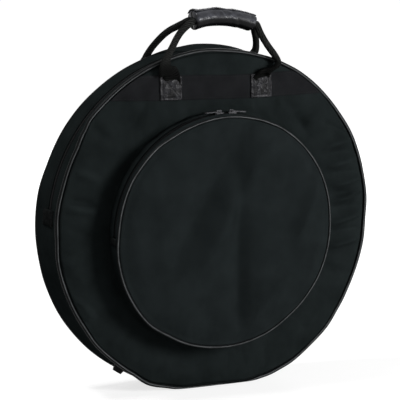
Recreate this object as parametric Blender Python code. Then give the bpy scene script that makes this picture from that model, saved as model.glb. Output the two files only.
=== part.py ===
"""A round padded cymbal bag with a round pocket on its front, standing on the flat of its rim.

Metres, +Z up. The front looks towards -Y, and +X is on the right of someone who faces it. The origin is the
middle of the flat that the bag stands on. Angles round the bag are in degrees from its top, clockwise as seen
from the front.
"""

import math

import bmesh
import bpy
from mathutils import Matrix, Vector

# Bag
bag_radius = 0.293
bag_depth = 0.084
rest_flat_width = 0.110
panel_crown = 0.007
fabric_thickness = 0.0015
foam_thickness = 0.008
lining_thickness = 0.001
seam_gap = 0.0003
lining_rim_gap = 0.001

# Welts, the piping along the seams
piping_radius = 0.0029
piping_standing = 0.0013

# Main zip
zip_y = -0.010
zip_end_angle = 83.0
zip_window = 0.012
tape_width = 0.015
tape_thickness = 0.001
tape_split = 0.0032
tab_length = 0.027
tab_width = 0.040
tab_thickness = 0.0016
main_slider_angles = (62.0, 70.0)

# Rubber feet
foot_angle = 147.5
foot_height = 0.011
foot_base_radius = 0.011
foot_tip_radius = 0.008

# Front pocket
pocket_radius = 0.200
pocket_depth = 0.045
pocket_below_band = 0.020
pocket_crown = 0.005
pocket_panel_thickness = 0.004
pocket_piping_radius = 0.0024
pocket_piping_standing = 0.0010
pocket_zip_end_angle = 90.0
pocket_tape_width = 0.015
pocket_slider_angle = 3.4
pocket_tab_length = 0.012
pocket_tab_width = 0.030

# Zip sliders and pullers
slider_length = 0.014
slider_width = 0.010
slider_plate = 0.0018
slider_neck_width = 0.0022
slider_head_room = 0.0016
slider_foot_room = 0.0012
bail_width = 0.003
bail_length = 0.009
bail_wire = 0.0012
bail_window = 0.0028
puller_length = 0.027
puller_width = 0.008
puller_thickness = 0.0016
puller_side_gap = 0.0006
puller_eye_length = 0.0075

# Webbing bands and the leather patches on them
webbing_width = 0.040
webbing_thickness = 0.0018
webbing_top_drop = 0.041
patch_width = 0.039
patch_height = 0.040
patch_thickness = 0.003
patch_spacing = 0.168

# Handles and grip
strap_radius = 0.006
handles_offset = -0.0065
handle_rise = 0.0905
handle_sway = 0.0175
back_handle_bow = 0.017
grip_tilt = 0.06
grip_y = -0.036
grip_length = 0.113
grip_bend_radius = 0.200
grip_half_depth = 0.018
grip_half_height = 0.0142
grip_bore_gap = 0.0006
strap_exit_length = 0.006
closure_strip_thickness = 0.0008
closure_strip_height = 0.014
closure_strip_length = 0.100
strap_spread = 0.018

# Shares chosen by hand: of a panel's radius and crown, and of the handles' spacing, rise and lean
crown_shares = ((1.0, 0.0), (0.965, 0.42), (0.90, 0.82), (0.76, 1.0))
front_strap_shares = ((1.0, 0.0, 0.0), (1.14, 0.03, 0.0), (1.27, 0.10, 0.05), (1.25, 0.22, 0.15),
                      (1.15, 0.38, 0.35), (1.0, 0.58, 0.65), (0.83, 0.77, 0.90))
back_strap_shares = ((1.0, 0.0, 0.0), (1.13, 0.08, 0.01), (1.22, 0.18, 0.02), (1.25, 0.31, 0.04),
                     (1.20, 0.44, 0.14), (1.10, 0.58, 0.34), (0.96, 0.74, 0.62), (0.85, 0.88, 0.86))

# Fineness of the round shapes
bag_step = 5.0
pocket_step = 7.5
strap_points = 5
grip_steps = 10
grip_oval_steps = 10
bore_sides = 12
foot_sides = 24
welt_bevel_rings = 1
strap_bevel_rings = 2
cut_margin = 0.02

# Places worked out from the sizes above
centre_z = math.sqrt(bag_radius**2 - (rest_flat_width / 2) ** 2)
half_depth = bag_depth / 2
welt_seat = piping_radius + piping_standing
welt_gap = piping_radius + seam_gap
panel_inset = piping_radius - piping_standing + welt_gap
panel_floor = 2 * (piping_radius + seam_gap)
fold_z = centre_z + bag_radius * math.cos(math.radians(zip_end_angle))
face_y = half_depth + panel_crown
foam_face = half_depth - fabric_thickness - seam_gap
lining_face = foam_face - foam_thickness - seam_gap
gusset_lining_face = lining_face - lining_thickness - seam_gap
foam_radius = bag_radius - fabric_thickness - seam_gap
lining_radius = foam_radius - foam_thickness - seam_gap
pocket_back = -face_y - seam_gap
pocket_front = -face_y - pocket_depth
pocket_zip_y = (pocket_back + pocket_front) / 2
pocket_welt_gap = pocket_piping_radius + seam_gap
pocket_inset = pocket_piping_radius - pocket_piping_standing + pocket_welt_gap
band_z = centre_z + bag_radius - webbing_top_drop - webbing_width / 2
pocket_z = band_z - webbing_width / 2 - pocket_below_band - pocket_radius
handle_z = band_z + patch_height / 2 + seam_gap + strap_radius
grip_z = handle_z + handle_rise
closure_gap = closure_strip_thickness + seam_gap + seam_gap / 2

part_collection = None
cutter_collection = None
surfaces = {}


def new_collection(name):
    collection = bpy.data.collections.new(name)
    bpy.context.scene.collection.children.link(collection)
    return collection


def clear_scene():
    for found in list(bpy.data.objects):
        bpy.data.objects.remove(found, do_unlink=True)


def make_surface(name, colour, roughness, metallic=0.0):
    """One finish: a Principled material with the colour, roughness and metallic value of the real surface."""
    material = bpy.data.materials.new(name)
    material.use_nodes = True
    shader = material.node_tree.nodes["Principled BSDF"]
    shader.inputs["Base Color"].default_value = (*colour, 1.0)
    shader.inputs["Roughness"].default_value = roughness
    shader.inputs["Metallic"].default_value = metallic
    surfaces[name] = material


def make_surfaces():
    make_surface("bag_fabric", (0.022, 0.026, 0.028), 0.85)
    make_surface("foam", (0.16, 0.16, 0.17), 0.95)
    make_surface("lining", (0.045, 0.045, 0.05), 0.8)
    make_surface("piping", (0.035, 0.038, 0.042), 0.5)
    make_surface("webbing", (0.04, 0.036, 0.033), 0.75)
    make_surface("leatherette", (0.045, 0.047, 0.06), 0.45)
    make_surface("zip_tape", (0.02, 0.02, 0.022), 0.7)
    make_surface("zip_metal", (0.12, 0.12, 0.13), 0.35, 0.9)
    make_surface("rubber", (0.02, 0.02, 0.02), 0.7)


def add_object(name, data, surface, smooth_angle=30.0):
    data.materials.append(surfaces[surface])
    made = bpy.data.objects.new(name, data)
    part_collection.objects.link(made)
    if isinstance(data, bpy.types.Mesh):
        data.shade_smooth()
        data.set_sharp_from_angle(angle=math.radians(smooth_angle))
    return made


def add_mesh(name, shape, surface):
    """Turns a finished bmesh into a named object, with its faces pointing out."""
    shape.normal_update()
    bmesh.ops.recalc_face_normals(shape, faces=shape.faces)
    data = bpy.data.meshes.new(name)
    shape.to_mesh(data)
    shape.free()
    return add_object(name, data, surface)


def rim_point(middle_z, radius, floor, angle):
    """A point in the XZ plane on a round outline that is pressed flat at a floor height."""
    turn = math.radians(angle)
    return radius * math.sin(turn), max(middle_z + radius * math.cos(turn), floor)


def rim_points(middle_z, radius, floor, start, end, step):
    count = math.ceil(abs(end - start) / step)
    return [rim_point(middle_z, radius, floor, start + (end - start) * i / count) for i in range(count + 1)]


def prism(outline, y_from, y_to):
    """A flat outline in the XZ plane, drawn out along Y."""
    shape = bmesh.new()
    face = shape.faces.new([shape.verts.new((x, y_from, z)) for x, z in outline])
    drawn = bmesh.ops.extrude_face_region(shape, geom=[face])["geom"]
    moved = [item for item in drawn if isinstance(item, bmesh.types.BMVert)]
    bmesh.ops.translate(shape, verts=moved, vec=(0, y_to - y_from, 0))
    return shape


def ring_strip(name, middle_z, radius, thickness, floor, angles, step, y_from, y_to, surface):
    """A strip of cloth or foam that follows the rim between two angles."""
    outer = rim_points(middle_z, radius, floor, *angles, step)
    inner = rim_points(middle_z, radius - thickness, floor + thickness, *angles, step)
    return add_mesh(name, prism(outer + inner[::-1], y_from, y_to), surface)


def crowned_sheet(middle_z, radius, floor, step, y_rim, crown):
    """A round sheet whose middle stands out from its rim by the crown, which is negative towards the front."""
    shape = bmesh.new()
    flat = Matrix.Rotation(math.radians(90), 4, "X")
    bmesh.ops.create_circle(shape, cap_ends=True, radius=radius, segments=round(360 / step), matrix=flat)
    middle = next(iter(shape.faces))
    bmesh.ops.translate(shape, verts=shape.verts, vec=(0, y_rim, middle_z))
    for (outer_share, _), (share, height) in zip(crown_shares, crown_shares[1:]):
        inset = (outer_share - share) * radius
        bmesh.ops.inset_individual(shape, faces=[middle], thickness=inset)
        for corner in middle.verts:
            corner.co.y = y_rim + crown * height
    for corner in shape.verts:
        corner.co.z = max(corner.co.z, floor)
    return shape


def thicken(shape, y_shift):
    """Gives a crowned sheet the same thickness all over, measured along Y."""
    drawn = bmesh.ops.extrude_face_region(shape, geom=shape.faces[:])["geom"]
    moved = [item for item in drawn if isinstance(item, bmesh.types.BMVert)]
    bmesh.ops.translate(shape, verts=moved, vec=(0, y_shift, 0))


def thicken_to_flat(shape, y_flat):
    """Fills a crowned sheet up to a flat back."""
    drawn = bmesh.ops.extrude_face_region(shape, geom=shape.faces[:])["geom"]
    for item in drawn:
        if isinstance(item, bmesh.types.BMVert):
            item.co.y = y_flat
    back = [item for item in drawn if isinstance(item, bmesh.types.BMFace)]
    bmesh.ops.dissolve_faces(shape, faces=back)


def cut_off(shape, place, normal):
    """Cuts away what lies past a plane on the side that the normal points to, and closes the cut."""
    everything = shape.verts[:] + shape.edges[:] + shape.faces[:]
    cut = bmesh.ops.bisect_plane(shape, geom=everything, plane_co=place, plane_no=normal, clear_outer=True)
    edges = [item for item in cut["geom_cut"] if isinstance(item, bmesh.types.BMEdge)]
    bmesh.ops.edgeloop_fill(shape, edges=edges)


def cut_across(shape, z, keep_upper):
    """Cuts a solid level at a height."""
    cut_off(shape, (0, 0, z), (0, 0, -1 if keep_upper else 1))


def fabric_panel(side):
    """The outer cloth of the front (side -1) or the back (side 1)."""
    radius = bag_radius - panel_inset
    shape = crowned_sheet(centre_z, radius, panel_floor, bag_step, side * half_depth, side * panel_crown)
    thicken(shape, -side * fabric_thickness)
    return shape


def foam_panel(side):
    radius = bag_radius - panel_inset
    shape = crowned_sheet(centre_z, radius, panel_floor, bag_step, side * foam_face, side * panel_crown)
    thicken_to_flat(shape, side * (foam_face - foam_thickness))
    return shape


def lining_panel(side):
    radius = lining_radius - lining_rim_gap
    floor = bag_radius - radius
    outline = rim_points(centre_z, radius, floor, 0, 360, bag_step)[:-1]
    return prism(outline, side * lining_face, side * (lining_face - lining_thickness))


def front_panels():
    add_mesh("front_panel", fabric_panel(-1), "bag_fabric")
    add_mesh("front_foam", foam_panel(-1), "foam")
    add_mesh("front_lining", lining_panel(-1), "lining")


def back_panels():
    """The back, parted level with the ends of the zip, where the real cloth folds when the bag is opened."""
    layers = (("panel", fabric_panel, "bag_fabric"), ("foam", foam_panel, "foam"), ("lining", lining_panel, "lining"))
    for layer, build, surface in layers:
        for half, upper in (("lower", False), ("upper", True)):
            shape = build(1)
            cut_across(shape, fold_z + (seam_gap if upper else 0), upper)
            add_mesh(f"back_{layer}_{half}", shape, surface)


def gusset_strip(name, radius, thickness, angles, y_from, y_to, surface):
    floor = bag_radius - radius
    ring_strip(name, centre_z, radius, thickness, floor, angles, bag_step, y_from, y_to, surface)


def lower_gusset():
    angles = (zip_end_angle, 360 - zip_end_angle)
    edge = half_depth - piping_radius + piping_standing - welt_gap
    gusset_strip("lower_gusset", bag_radius, fabric_thickness, angles, -edge, edge, "bag_fabric")
    gusset_strip("lower_gusset_foam", foam_radius, foam_thickness, angles, -lining_face, lining_face, "foam")
    gusset_strip("lower_gusset_lining", lining_radius, lining_thickness, angles,
                 -gusset_lining_face, gusset_lining_face, "lining")


def zip_gussets():
    """The two strips over the upper half, one on each side of the zip, with their foam and the zip's tapes."""
    end = zip_end_angle - math.degrees(seam_gap / bag_radius)
    angles = (-end, end)
    edge = half_depth - piping_radius + piping_standing - welt_gap
    tape_radius = foam_radius
    for name, side in (("front", -1), ("back", 1)):
        window_edge = zip_y + side * zip_window / 2
        tape_edge = zip_y + side * tape_split / 2
        tape_far = tape_edge + side * tape_width
        foam_edge = tape_far + side * seam_gap
        gusset_strip(f"{name}_zip_gusset", bag_radius, fabric_thickness, angles, side * edge, window_edge,
                     "bag_fabric")
        gusset_strip(f"{name}_zip_gusset_foam", foam_radius, foam_thickness, angles, side * lining_face,
                     foam_edge, "foam")
        gusset_strip(f"{name}_zip_tape", tape_radius, tape_thickness, angles, tape_far, tape_edge, "zip_tape")


def tube(name, points, radius, surface, bevel_rings, closed=False):
    """A round tube through the points, as a curve with a bevel and filled ends."""
    data = bpy.data.curves.new(name, "CURVE")
    data.dimensions = "3D"
    data.bevel_depth = radius
    data.bevel_resolution = bevel_rings
    data.use_fill_caps = True
    spline = data.splines.new("POLY")
    spline.points.add(len(points) - 1)
    for knot, place in zip(spline.points, points):
        knot.co = (*place, 1)
    spline.use_cyclic_u = closed
    return add_object(name, data, surface)


def welt(name, middle_z, radius, floor, y, angles, step, thickness_radius):
    closed = angles is None
    start, end = (0, 360) if closed else angles
    path = [(x, y, z) for x, z in rim_points(middle_z, radius, floor, start, end, step)]
    tube(name, path[:-1] if closed else path, thickness_radius, "piping", welt_bevel_rings, closed)


def bag_piping():
    radius = bag_radius - piping_radius + piping_standing
    y = half_depth - piping_radius + piping_standing
    end = math.degrees(math.acos((fold_z - centre_z) / radius))
    clear = math.degrees(seam_gap / radius)
    upper = (-end + clear, end - clear)
    lower = (end, 360 - end)
    floor = piping_radius + seam_gap
    welt("front_piping", centre_z, radius, floor, -y, None, bag_step, piping_radius)
    welt("back_piping_upper", centre_z, radius, floor, y, upper, bag_step, piping_radius)
    welt("back_piping_lower", centre_z, radius, floor, y, lower, bag_step, piping_radius)


def at_rim(middle_z, radius, y, angle):
    """The place on a rim: X along the rim, clockwise, Z straight out of it."""
    x, z = rim_point(middle_z, radius, 0, angle)
    return Matrix.Translation((x, y, z)) @ Matrix.Rotation(math.radians(angle), 4, "Y")


def zip_end_tab(name, middle_z, radius, y, angle, length, width):
    """A folded piece of leatherette sewn over the end of a zip, bent to the rim."""
    span = math.degrees(length / radius)
    start, end = (angle, angle + span) if angle > 0 else (angle - span, angle)
    ring_strip(name, middle_z, radius + seam_gap + tab_thickness, tab_thickness, 0, (start, end), bag_step,
               y - width / 2, y + width / 2, "leatherette")


def zip_end_tabs():
    clear = math.degrees(seam_gap / bag_radius)
    for name, side in (("left", -1), ("right", 1)):
        zip_end_tab(f"zip_end_tab_{name}", centre_z, bag_radius, zip_y, side * (zip_end_angle + clear),
                    tab_length, tab_width)


def feet():
    for name, side in (("left", -1), ("right", 1)):
        shape = bmesh.new()
        bmesh.ops.create_cone(shape, cap_ends=True, segments=foot_sides, radius1=foot_base_radius,
                              radius2=foot_tip_radius, depth=foot_height)
        bmesh.ops.translate(shape, verts=shape.verts, vec=(0, 0, foot_height / 2 + seam_gap))
        shape.transform(at_rim(centre_z, bag_radius, 0, side * foot_angle))
        add_mesh(f"foot_{name}", shape, "rubber")


def slider_body(name, place, head_level):
    """A zip slider: two plates on a narrow neck, open at both sides, with a bail on top for its puller."""
    tape_bottom = -tape_thickness
    top = head_level
    bottom = tape_bottom - slider_foot_room
    half, neck = slider_width / 2, slider_neck_width / 2
    section = [(-half, top + slider_plate), (-half, top), (-neck, top), (-neck, bottom), (-half, bottom),
               (-half, bottom - slider_plate), (half, bottom - slider_plate), (half, bottom), (neck, bottom),
               (neck, top), (half, top), (half, top + slider_plate)]
    shape = bmesh.new()
    face = shape.faces.new([shape.verts.new((-slider_length / 2, y, z)) for y, z in section])
    drawn = bmesh.ops.extrude_face_region(shape, geom=[face])["geom"]
    moved = [item for item in drawn if isinstance(item, bmesh.types.BMVert)]
    bmesh.ops.translate(shape, verts=moved, vec=(slider_length, 0, 0))
    made = add_mesh(name, shape, "zip_metal")
    made.matrix_world = place
    bail = slider_bail(name, top + slider_plate)
    bail.matrix_world = place
    join = made.modifiers.new("bail", "BOOLEAN")
    join.operation = "UNION"
    join.object = bail
    return made


def slider_bail(name, base):
    """The arch that holds the puller, sunk a little into the slider's top plate."""
    half, wire = bail_length / 2, bail_wire
    low, inner, top = base - slider_plate / 2, base + bail_window, base + bail_window + bail_wire
    arch = [(-half, low), (-half, inner), (-half + wire, top), (half - wire, top), (half, inner), (half, low),
            (half - wire, low), (half - wire, inner), (-half + wire, inner), (-half + wire, low)]
    shape = prism(arch, -bail_width / 2, bail_width / 2)
    bmesh.ops.recalc_face_normals(shape, faces=shape.faces)
    data = bpy.data.meshes.new(f"{name}_bail")
    shape.to_mesh(data)
    shape.free()
    helper = bpy.data.objects.new(f"{name}_bail", data)
    cutter_collection.objects.link(helper)
    helper.hide_render = True
    helper.display_type = "WIRE"
    return helper


def puller(name, place, pivot_height, direction):
    """A flat puller whose cross bar turns under the slider's bail. It lies along the zip, in the direction given."""
    half = puller_width / 2
    eye_half = bail_width / 2 + puller_side_gap
    bar = puller_thickness / 2
    rounded = puller_width / 4
    outer = [(-bar, -half), (puller_length - rounded, -half), (puller_length, -half + rounded),
             (puller_length, half - rounded), (puller_length - rounded, half), (-bar, half)]
    eye = [(bar, -eye_half), (puller_eye_length, -eye_half), (puller_eye_length, eye_half), (bar, eye_half)]
    data = bpy.data.curves.new(name, "CURVE")
    data.dimensions = "2D"
    data.fill_mode = "BOTH"
    data.extrude = puller_thickness / 2
    for outline in (outer, eye):
        spline = data.splines.new("POLY")
        spline.points.add(len(outline) - 1)
        for knot, (x, y) in zip(spline.points, outline):
            knot.co = (direction * x, y, 0, 1)
        spline.use_cyclic_u = True
    made = add_object(name, data, "zip_metal")
    made.matrix_world = place @ Matrix.Translation((0, 0, pivot_height))
    return made


def slider_with_puller(name, middle_z, radius, y, angle, direction):
    """A slider and its puller, under an empty on the axis that the slider travels round."""
    place = at_rim(middle_z, radius, y, angle)
    body = slider_body(f"{name}_slider", place, slider_head_room)
    pivot_height = slider_head_room + slider_plate + bail_window / 2
    pull = puller(f"{name}_puller", place, pivot_height, direction)
    axis = bpy.data.objects.new(f"{name}_track", None)
    part_collection.objects.link(axis)
    axis.location = (0, y, middle_z)
    for piece in (body, pull):
        piece.parent = axis
        piece.matrix_parent_inverse = Matrix.Translation((0, -y, -middle_z))


def main_sliders():
    first, second = main_slider_angles
    slider_with_puller("main_left", centre_z, foam_radius, zip_y, first, -1)
    slider_with_puller("main_right", centre_z, foam_radius, zip_y, second, 1)


def pocket_strip(name, radius, thickness, angles, y_from, y_to, surface):
    ring_strip(name, pocket_z, radius, thickness, 0, angles, pocket_step, y_from, y_to, surface)


def pocket_faces():
    """The padded face of the pocket, parted level with the ends of its zip."""
    radius = pocket_radius - pocket_inset
    for half, upper in (("lower", False), ("upper", True)):
        shape = crowned_sheet(pocket_z, radius, pocket_inset, pocket_step, pocket_front, -pocket_crown)
        thicken(shape, pocket_panel_thickness)
        cut_across(shape, pocket_z + (seam_gap if upper else 0), upper)
        add_mesh(f"pocket_face_{half}", shape, "bag_fabric")


def pocket_gussets():
    lower = (pocket_zip_end_angle, 360 - pocket_zip_end_angle)
    end = pocket_zip_end_angle - math.degrees(seam_gap / pocket_radius)
    upper = (-end, end)
    front_edge = pocket_front + pocket_piping_radius - pocket_piping_standing + pocket_welt_gap
    half_window = zip_window / 2
    tape_radius = pocket_radius - fabric_thickness - seam_gap
    pocket_strip("pocket_lower_gusset", pocket_radius, fabric_thickness, lower, front_edge, pocket_back,
                 "bag_fabric")
    pocket_strip("pocket_base_strip", pocket_radius, fabric_thickness, upper, pocket_zip_y + half_window,
                 pocket_back, "bag_fabric")
    pocket_strip("pocket_lid_strip", pocket_radius, fabric_thickness, upper, front_edge,
                 pocket_zip_y - half_window, "bag_fabric")
    for name, side in (("base", 1), ("lid", -1)):
        inner = pocket_zip_y + side * tape_split / 2
        pocket_strip(f"pocket_{name}_zip_tape", tape_radius, tape_thickness, upper, inner,
                     inner + side * pocket_tape_width, "zip_tape")


def pocket_piping():
    radius = pocket_radius - pocket_piping_radius + pocket_piping_standing
    y = pocket_front + pocket_piping_radius - pocket_piping_standing
    clear = math.degrees(seam_gap / radius)
    end = pocket_zip_end_angle - clear
    lower = (pocket_zip_end_angle, 360 - pocket_zip_end_angle)
    welt("pocket_piping_upper", pocket_z, radius, 0, y, (-end, end), pocket_step, pocket_piping_radius)
    welt("pocket_piping_lower", pocket_z, radius, 0, y, lower, pocket_step, pocket_piping_radius)


def pocket_zip_parts():
    clear = math.degrees(seam_gap / pocket_radius)
    tape_radius = pocket_radius - fabric_thickness - seam_gap
    for name, side in (("left", -1), ("right", 1)):
        zip_end_tab(f"pocket_zip_tab_{name}", pocket_z, pocket_radius, pocket_zip_y,
                    side * (pocket_zip_end_angle + clear), pocket_tab_length, pocket_tab_width)
        slider_with_puller(f"pocket_{name}", pocket_z, tape_radius, pocket_zip_y, side * pocket_slider_angle, side)


def laid_on_panel(side, lift, thickness, middle_z, height):
    """A level strip of the given height, lying on a panel's crown, from welt to welt."""
    radius = bag_radius - panel_inset
    shape = crowned_sheet(centre_z, radius, panel_floor, bag_step, side * (half_depth + lift), side * panel_crown)
    thicken(shape, side * thickness)
    cut_across(shape, middle_z - height / 2, True)
    cut_across(shape, middle_z + height / 2, False)
    return shape


def webbing_band(name, side):
    """A band of webbing across a panel, with its ends in the welts' seams."""
    add_mesh(name, laid_on_panel(side, seam_gap, webbing_thickness, band_z, webbing_width), "webbing")


def handle_patches(name, side):
    """The leather patches that are sewn over the ends of a handle, on the band."""
    lift = seam_gap + webbing_thickness + seam_gap
    for half, way in (("left", -1), ("right", 1)):
        shape = laid_on_panel(side, lift, patch_thickness, band_z, patch_height)
        for edge in (-1, 1):
            middle = handles_offset + way * patch_spacing / 2
            cut_off(shape, (middle + edge * patch_width / 2, 0, 0), (edge, 0, 0))
        add_mesh(f"{name}_patch_{half}", shape, "leatherette")


def panel_y(x, z):
    """How far a panel's outer face stands from the middle of the bag at a place."""
    share = math.hypot(x, z - centre_z) / (bag_radius - panel_inset)
    for (outer, low), (inner, high) in zip(crown_shares, crown_shares[1:]):
        if share >= inner:
            return half_depth + panel_crown * (low + (high - low) * (outer - share) / (outer - inner))
    return half_depth + panel_crown


def handle_y():
    """How far the line that a handle turns about lies from the middle of the bag."""
    nearest = patch_spacing / 2 - patch_width / 2 - abs(handles_offset)
    return panel_y(nearest, handle_z) + seam_gap + strap_radius


def swayed(x, y, z):
    """The handles sit a little left of the middle, lean to the right as they rise, and are lower on the right."""
    rise = (z - handle_z) / handle_rise
    return Vector((x + handles_offset + handle_sway * rise, y, z - grip_tilt * x * rise))


def grip_point(share, y):
    """A point of the arched grip, from -1 at its left end to 1 at its right end."""
    turn = share * grip_length / 2 / grip_bend_radius
    drop = grip_bend_radius * (1 - math.cos(turn))
    return grip_bend_radius * math.sin(turn), y, grip_z - drop


def smooth_through(knots, count):
    """Points on a smooth curve through the knots, with the given number of steps from knot to knot."""
    padded = [2 * knots[0] - knots[1], *knots, 2 * knots[-1] - knots[-2]]
    found = []
    for a, b, c, d in zip(padded, padded[1:], padded[2:], padded[3:]):
        for i in range(count):
            t = i / count
            found.append(0.5 * (2 * b + (c - a) * t + (2 * a - 5 * b + 4 * c - d) * t**2
                                + (3 * b - a - 3 * c + d) * t**3))
    return [*found, knots[-1]]


def strap_route(shares, bow, from_y, to_y):
    """The middle line of one handle, from its left patch up, through the grip and down to its right patch."""
    half = patch_spacing / 2
    left, right = [], []
    for across, up, lean in shares:
        aside = bow * math.sin(math.pi * up) * (1 - up) * 1.6
        y, z = from_y + (to_y - from_y) * lean, handle_z + handle_rise * up
        left.append(swayed(-half * across, y, z) + Vector((aside, 0, 0)))
        right.insert(0, swayed(half * across, y, z) + Vector((aside, 0, 0)))
    exit_share = 1 + strap_exit_length / (grip_length / 2)
    held = [swayed(*grip_point(share, to_y))
            for share in (-exit_share, *(2 * i / grip_steps - 1 for i in range(grip_steps + 1)), exit_share)]
    into = smooth_through([*left, held[0], held[1]], strap_points)[: -strap_points]
    out = smooth_through([held[-2], held[-1], *right], strap_points)[strap_points:]
    return [*into[:-1], *held, *out[1:]]


def handle(name, side):
    """One strap, which turns about the line through the tops of its two patches."""
    to_y = grip_y + side * strap_spread / 2
    shares, bow = (back_strap_shares, back_handle_bow) if side > 0 else (front_strap_shares, 0)
    axis_y = side * handle_y()
    route = strap_route(shares, bow, axis_y, to_y)
    axis = bpy.data.objects.new(f"{name}_axis", None)
    part_collection.objects.link(axis)
    axis.location = (0, axis_y, handle_z)
    strap = tube(name, route, strap_radius, "webbing", strap_bevel_rings)
    strap.parent = axis
    strap.matrix_parent_inverse = Matrix.Translation((0, -axis_y, -handle_z))


def spun_along_grip(section, share_from, share_to, steps):
    """A section of (y, height) points carried along the arched grip, as a closed solid."""
    shape = bmesh.new()
    rings = []
    for i in range(steps + 1):
        share = share_from + (share_to - share_from) * i / steps
        turn = share * grip_length / 2 / grip_bend_radius
        out = Vector((math.sin(turn), 0, math.cos(turn)))
        hub = Vector((0, 0, grip_z - grip_bend_radius))
        places = [hub + out * (grip_bend_radius + high) + Vector((0, y, 0)) for y, high in section]
        rings.append([shape.verts.new(swayed(*place)) for place in places])
    for ring, following in zip(rings, rings[1:]):
        for j in range(len(ring)):
            k = (j + 1) % len(ring)
            shape.faces.new((ring[j], ring[k], following[k], following[j]))
    shape.faces.new(rings[0][::-1])
    shape.faces.new(rings[-1])
    return shape


def half_oval(side):
    """Half an oval beside the plane where the two halves of the grip meet."""
    depth = grip_half_depth - closure_gap
    turns = [math.pi * i / grip_oval_steps for i in range(grip_oval_steps + 1)]
    return [(grip_y + side * (closure_gap + depth * math.sin(turn)), grip_half_height * math.cos(turn))
            for turn in turns]


def bore_section(side):
    """The hole for a strap, wide enough for a round strap between its flats."""
    radius = (strap_radius + grip_bore_gap) / math.cos(math.pi / bore_sides)
    middle_y = grip_y + side * strap_spread / 2
    turns = [2 * math.pi * i / bore_sides for i in range(bore_sides)]
    return [(middle_y + radius * math.sin(turn), radius * math.cos(turn)) for turn in turns]


def grip_half(name, side):
    """The padded half grip round one strap, and the strip of its hook and loop closure."""
    shape = spun_along_grip(half_oval(side), -1, 1, grip_steps)
    pad = add_mesh(f"grip_{name}_half", shape, "leatherette")
    past = 1 + cut_margin / grip_length
    bore = spun_along_grip(bore_section(side), -past, past, grip_steps + 2)
    bmesh.ops.recalc_face_normals(bore, faces=bore.faces)
    data = bpy.data.meshes.new(f"{name}_strap_bore")
    bore.to_mesh(data)
    bore.free()
    cutter = bpy.data.objects.new(f"{name}_strap_bore", data)
    cutter_collection.objects.link(cutter)
    cutter.hide_render = True
    cutter.display_type = "WIRE"
    cut = pad.modifiers.new("strap_bore", "BOOLEAN")
    cut.operation = "DIFFERENCE"
    cut.object = cutter


def closure_strips():
    """Hook and loop strips on the flat faces where the two halves of the grip meet."""
    reach = closure_strip_length / grip_length
    high = closure_strip_height / 2
    near = seam_gap / 2
    far = near + closure_strip_thickness
    for name, side in (("loop", -1), ("hook", 1)):
        section = [(grip_y + side * near, -high), (grip_y + side * far, -high), (grip_y + side * far, high),
                   (grip_y + side * near, high)]
        add_mesh(f"grip_{name}_strip", spun_along_grip(section, -reach, reach, grip_steps), "zip_tape")


def build():
    global part_collection, cutter_collection
    clear_scene()
    part_collection = new_collection("cymbal_bag")
    cutter_collection = new_collection("cutters")
    make_surfaces()
    front_panels()
    back_panels()
    lower_gusset()
    zip_gussets()
    bag_piping()
    zip_end_tabs()
    feet()
    main_sliders()
    pocket_faces()
    pocket_gussets()
    pocket_piping()
    pocket_zip_parts()
    for name, side in (("front", -1), ("back", 1)):
        webbing_band(f"{name}_band", side)
        handle_patches(name, side)
        handle(f"{name}_handle", side)
        grip_half(name, side)
    closure_strips()


build()
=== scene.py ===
# %% [markdown]
# # Dressing a round cymbal bag
#
# The hard facts of this bag, its sizes and what turns about what, are already settled in a imported model. This
# lesson makes what one sees: coated cloth over foam, welts, webbing, leatherette and zips. Everything is in
# metres, +Z is up, the front looks towards -Y and +X is on the right of someone who faces it.
#
# The model is loaded first. Its nodes stay where they are. Most new pieces take the place of one or more of
# them, and ride on the same body.

# %% Load the frame
import math

import bpy
import numpy as np
from mathutils import Matrix, Vector


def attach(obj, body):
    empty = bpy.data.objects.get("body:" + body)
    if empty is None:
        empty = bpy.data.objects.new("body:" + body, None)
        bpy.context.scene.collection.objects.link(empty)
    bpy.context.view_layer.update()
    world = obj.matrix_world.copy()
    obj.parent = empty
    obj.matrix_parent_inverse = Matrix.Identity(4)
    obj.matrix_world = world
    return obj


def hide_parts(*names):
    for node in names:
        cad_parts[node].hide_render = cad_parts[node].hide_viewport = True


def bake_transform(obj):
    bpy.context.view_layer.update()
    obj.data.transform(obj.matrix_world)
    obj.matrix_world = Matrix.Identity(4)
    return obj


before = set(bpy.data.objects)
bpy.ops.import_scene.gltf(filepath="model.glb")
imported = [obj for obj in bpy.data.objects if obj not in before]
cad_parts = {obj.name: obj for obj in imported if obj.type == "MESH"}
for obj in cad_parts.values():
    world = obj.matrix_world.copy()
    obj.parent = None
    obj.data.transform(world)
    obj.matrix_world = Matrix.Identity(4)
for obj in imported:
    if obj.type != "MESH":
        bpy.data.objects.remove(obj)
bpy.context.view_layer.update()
print("nodes to dress:", len(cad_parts))

# %% [markdown]
# The sizes that several pieces share. Angles round the bag are in degrees from its top, clockwise as seen from
# the front. The bag is round, but its lowest part is pressed flat by its own weight, so its middle is a little
# lower than its radius.

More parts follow.
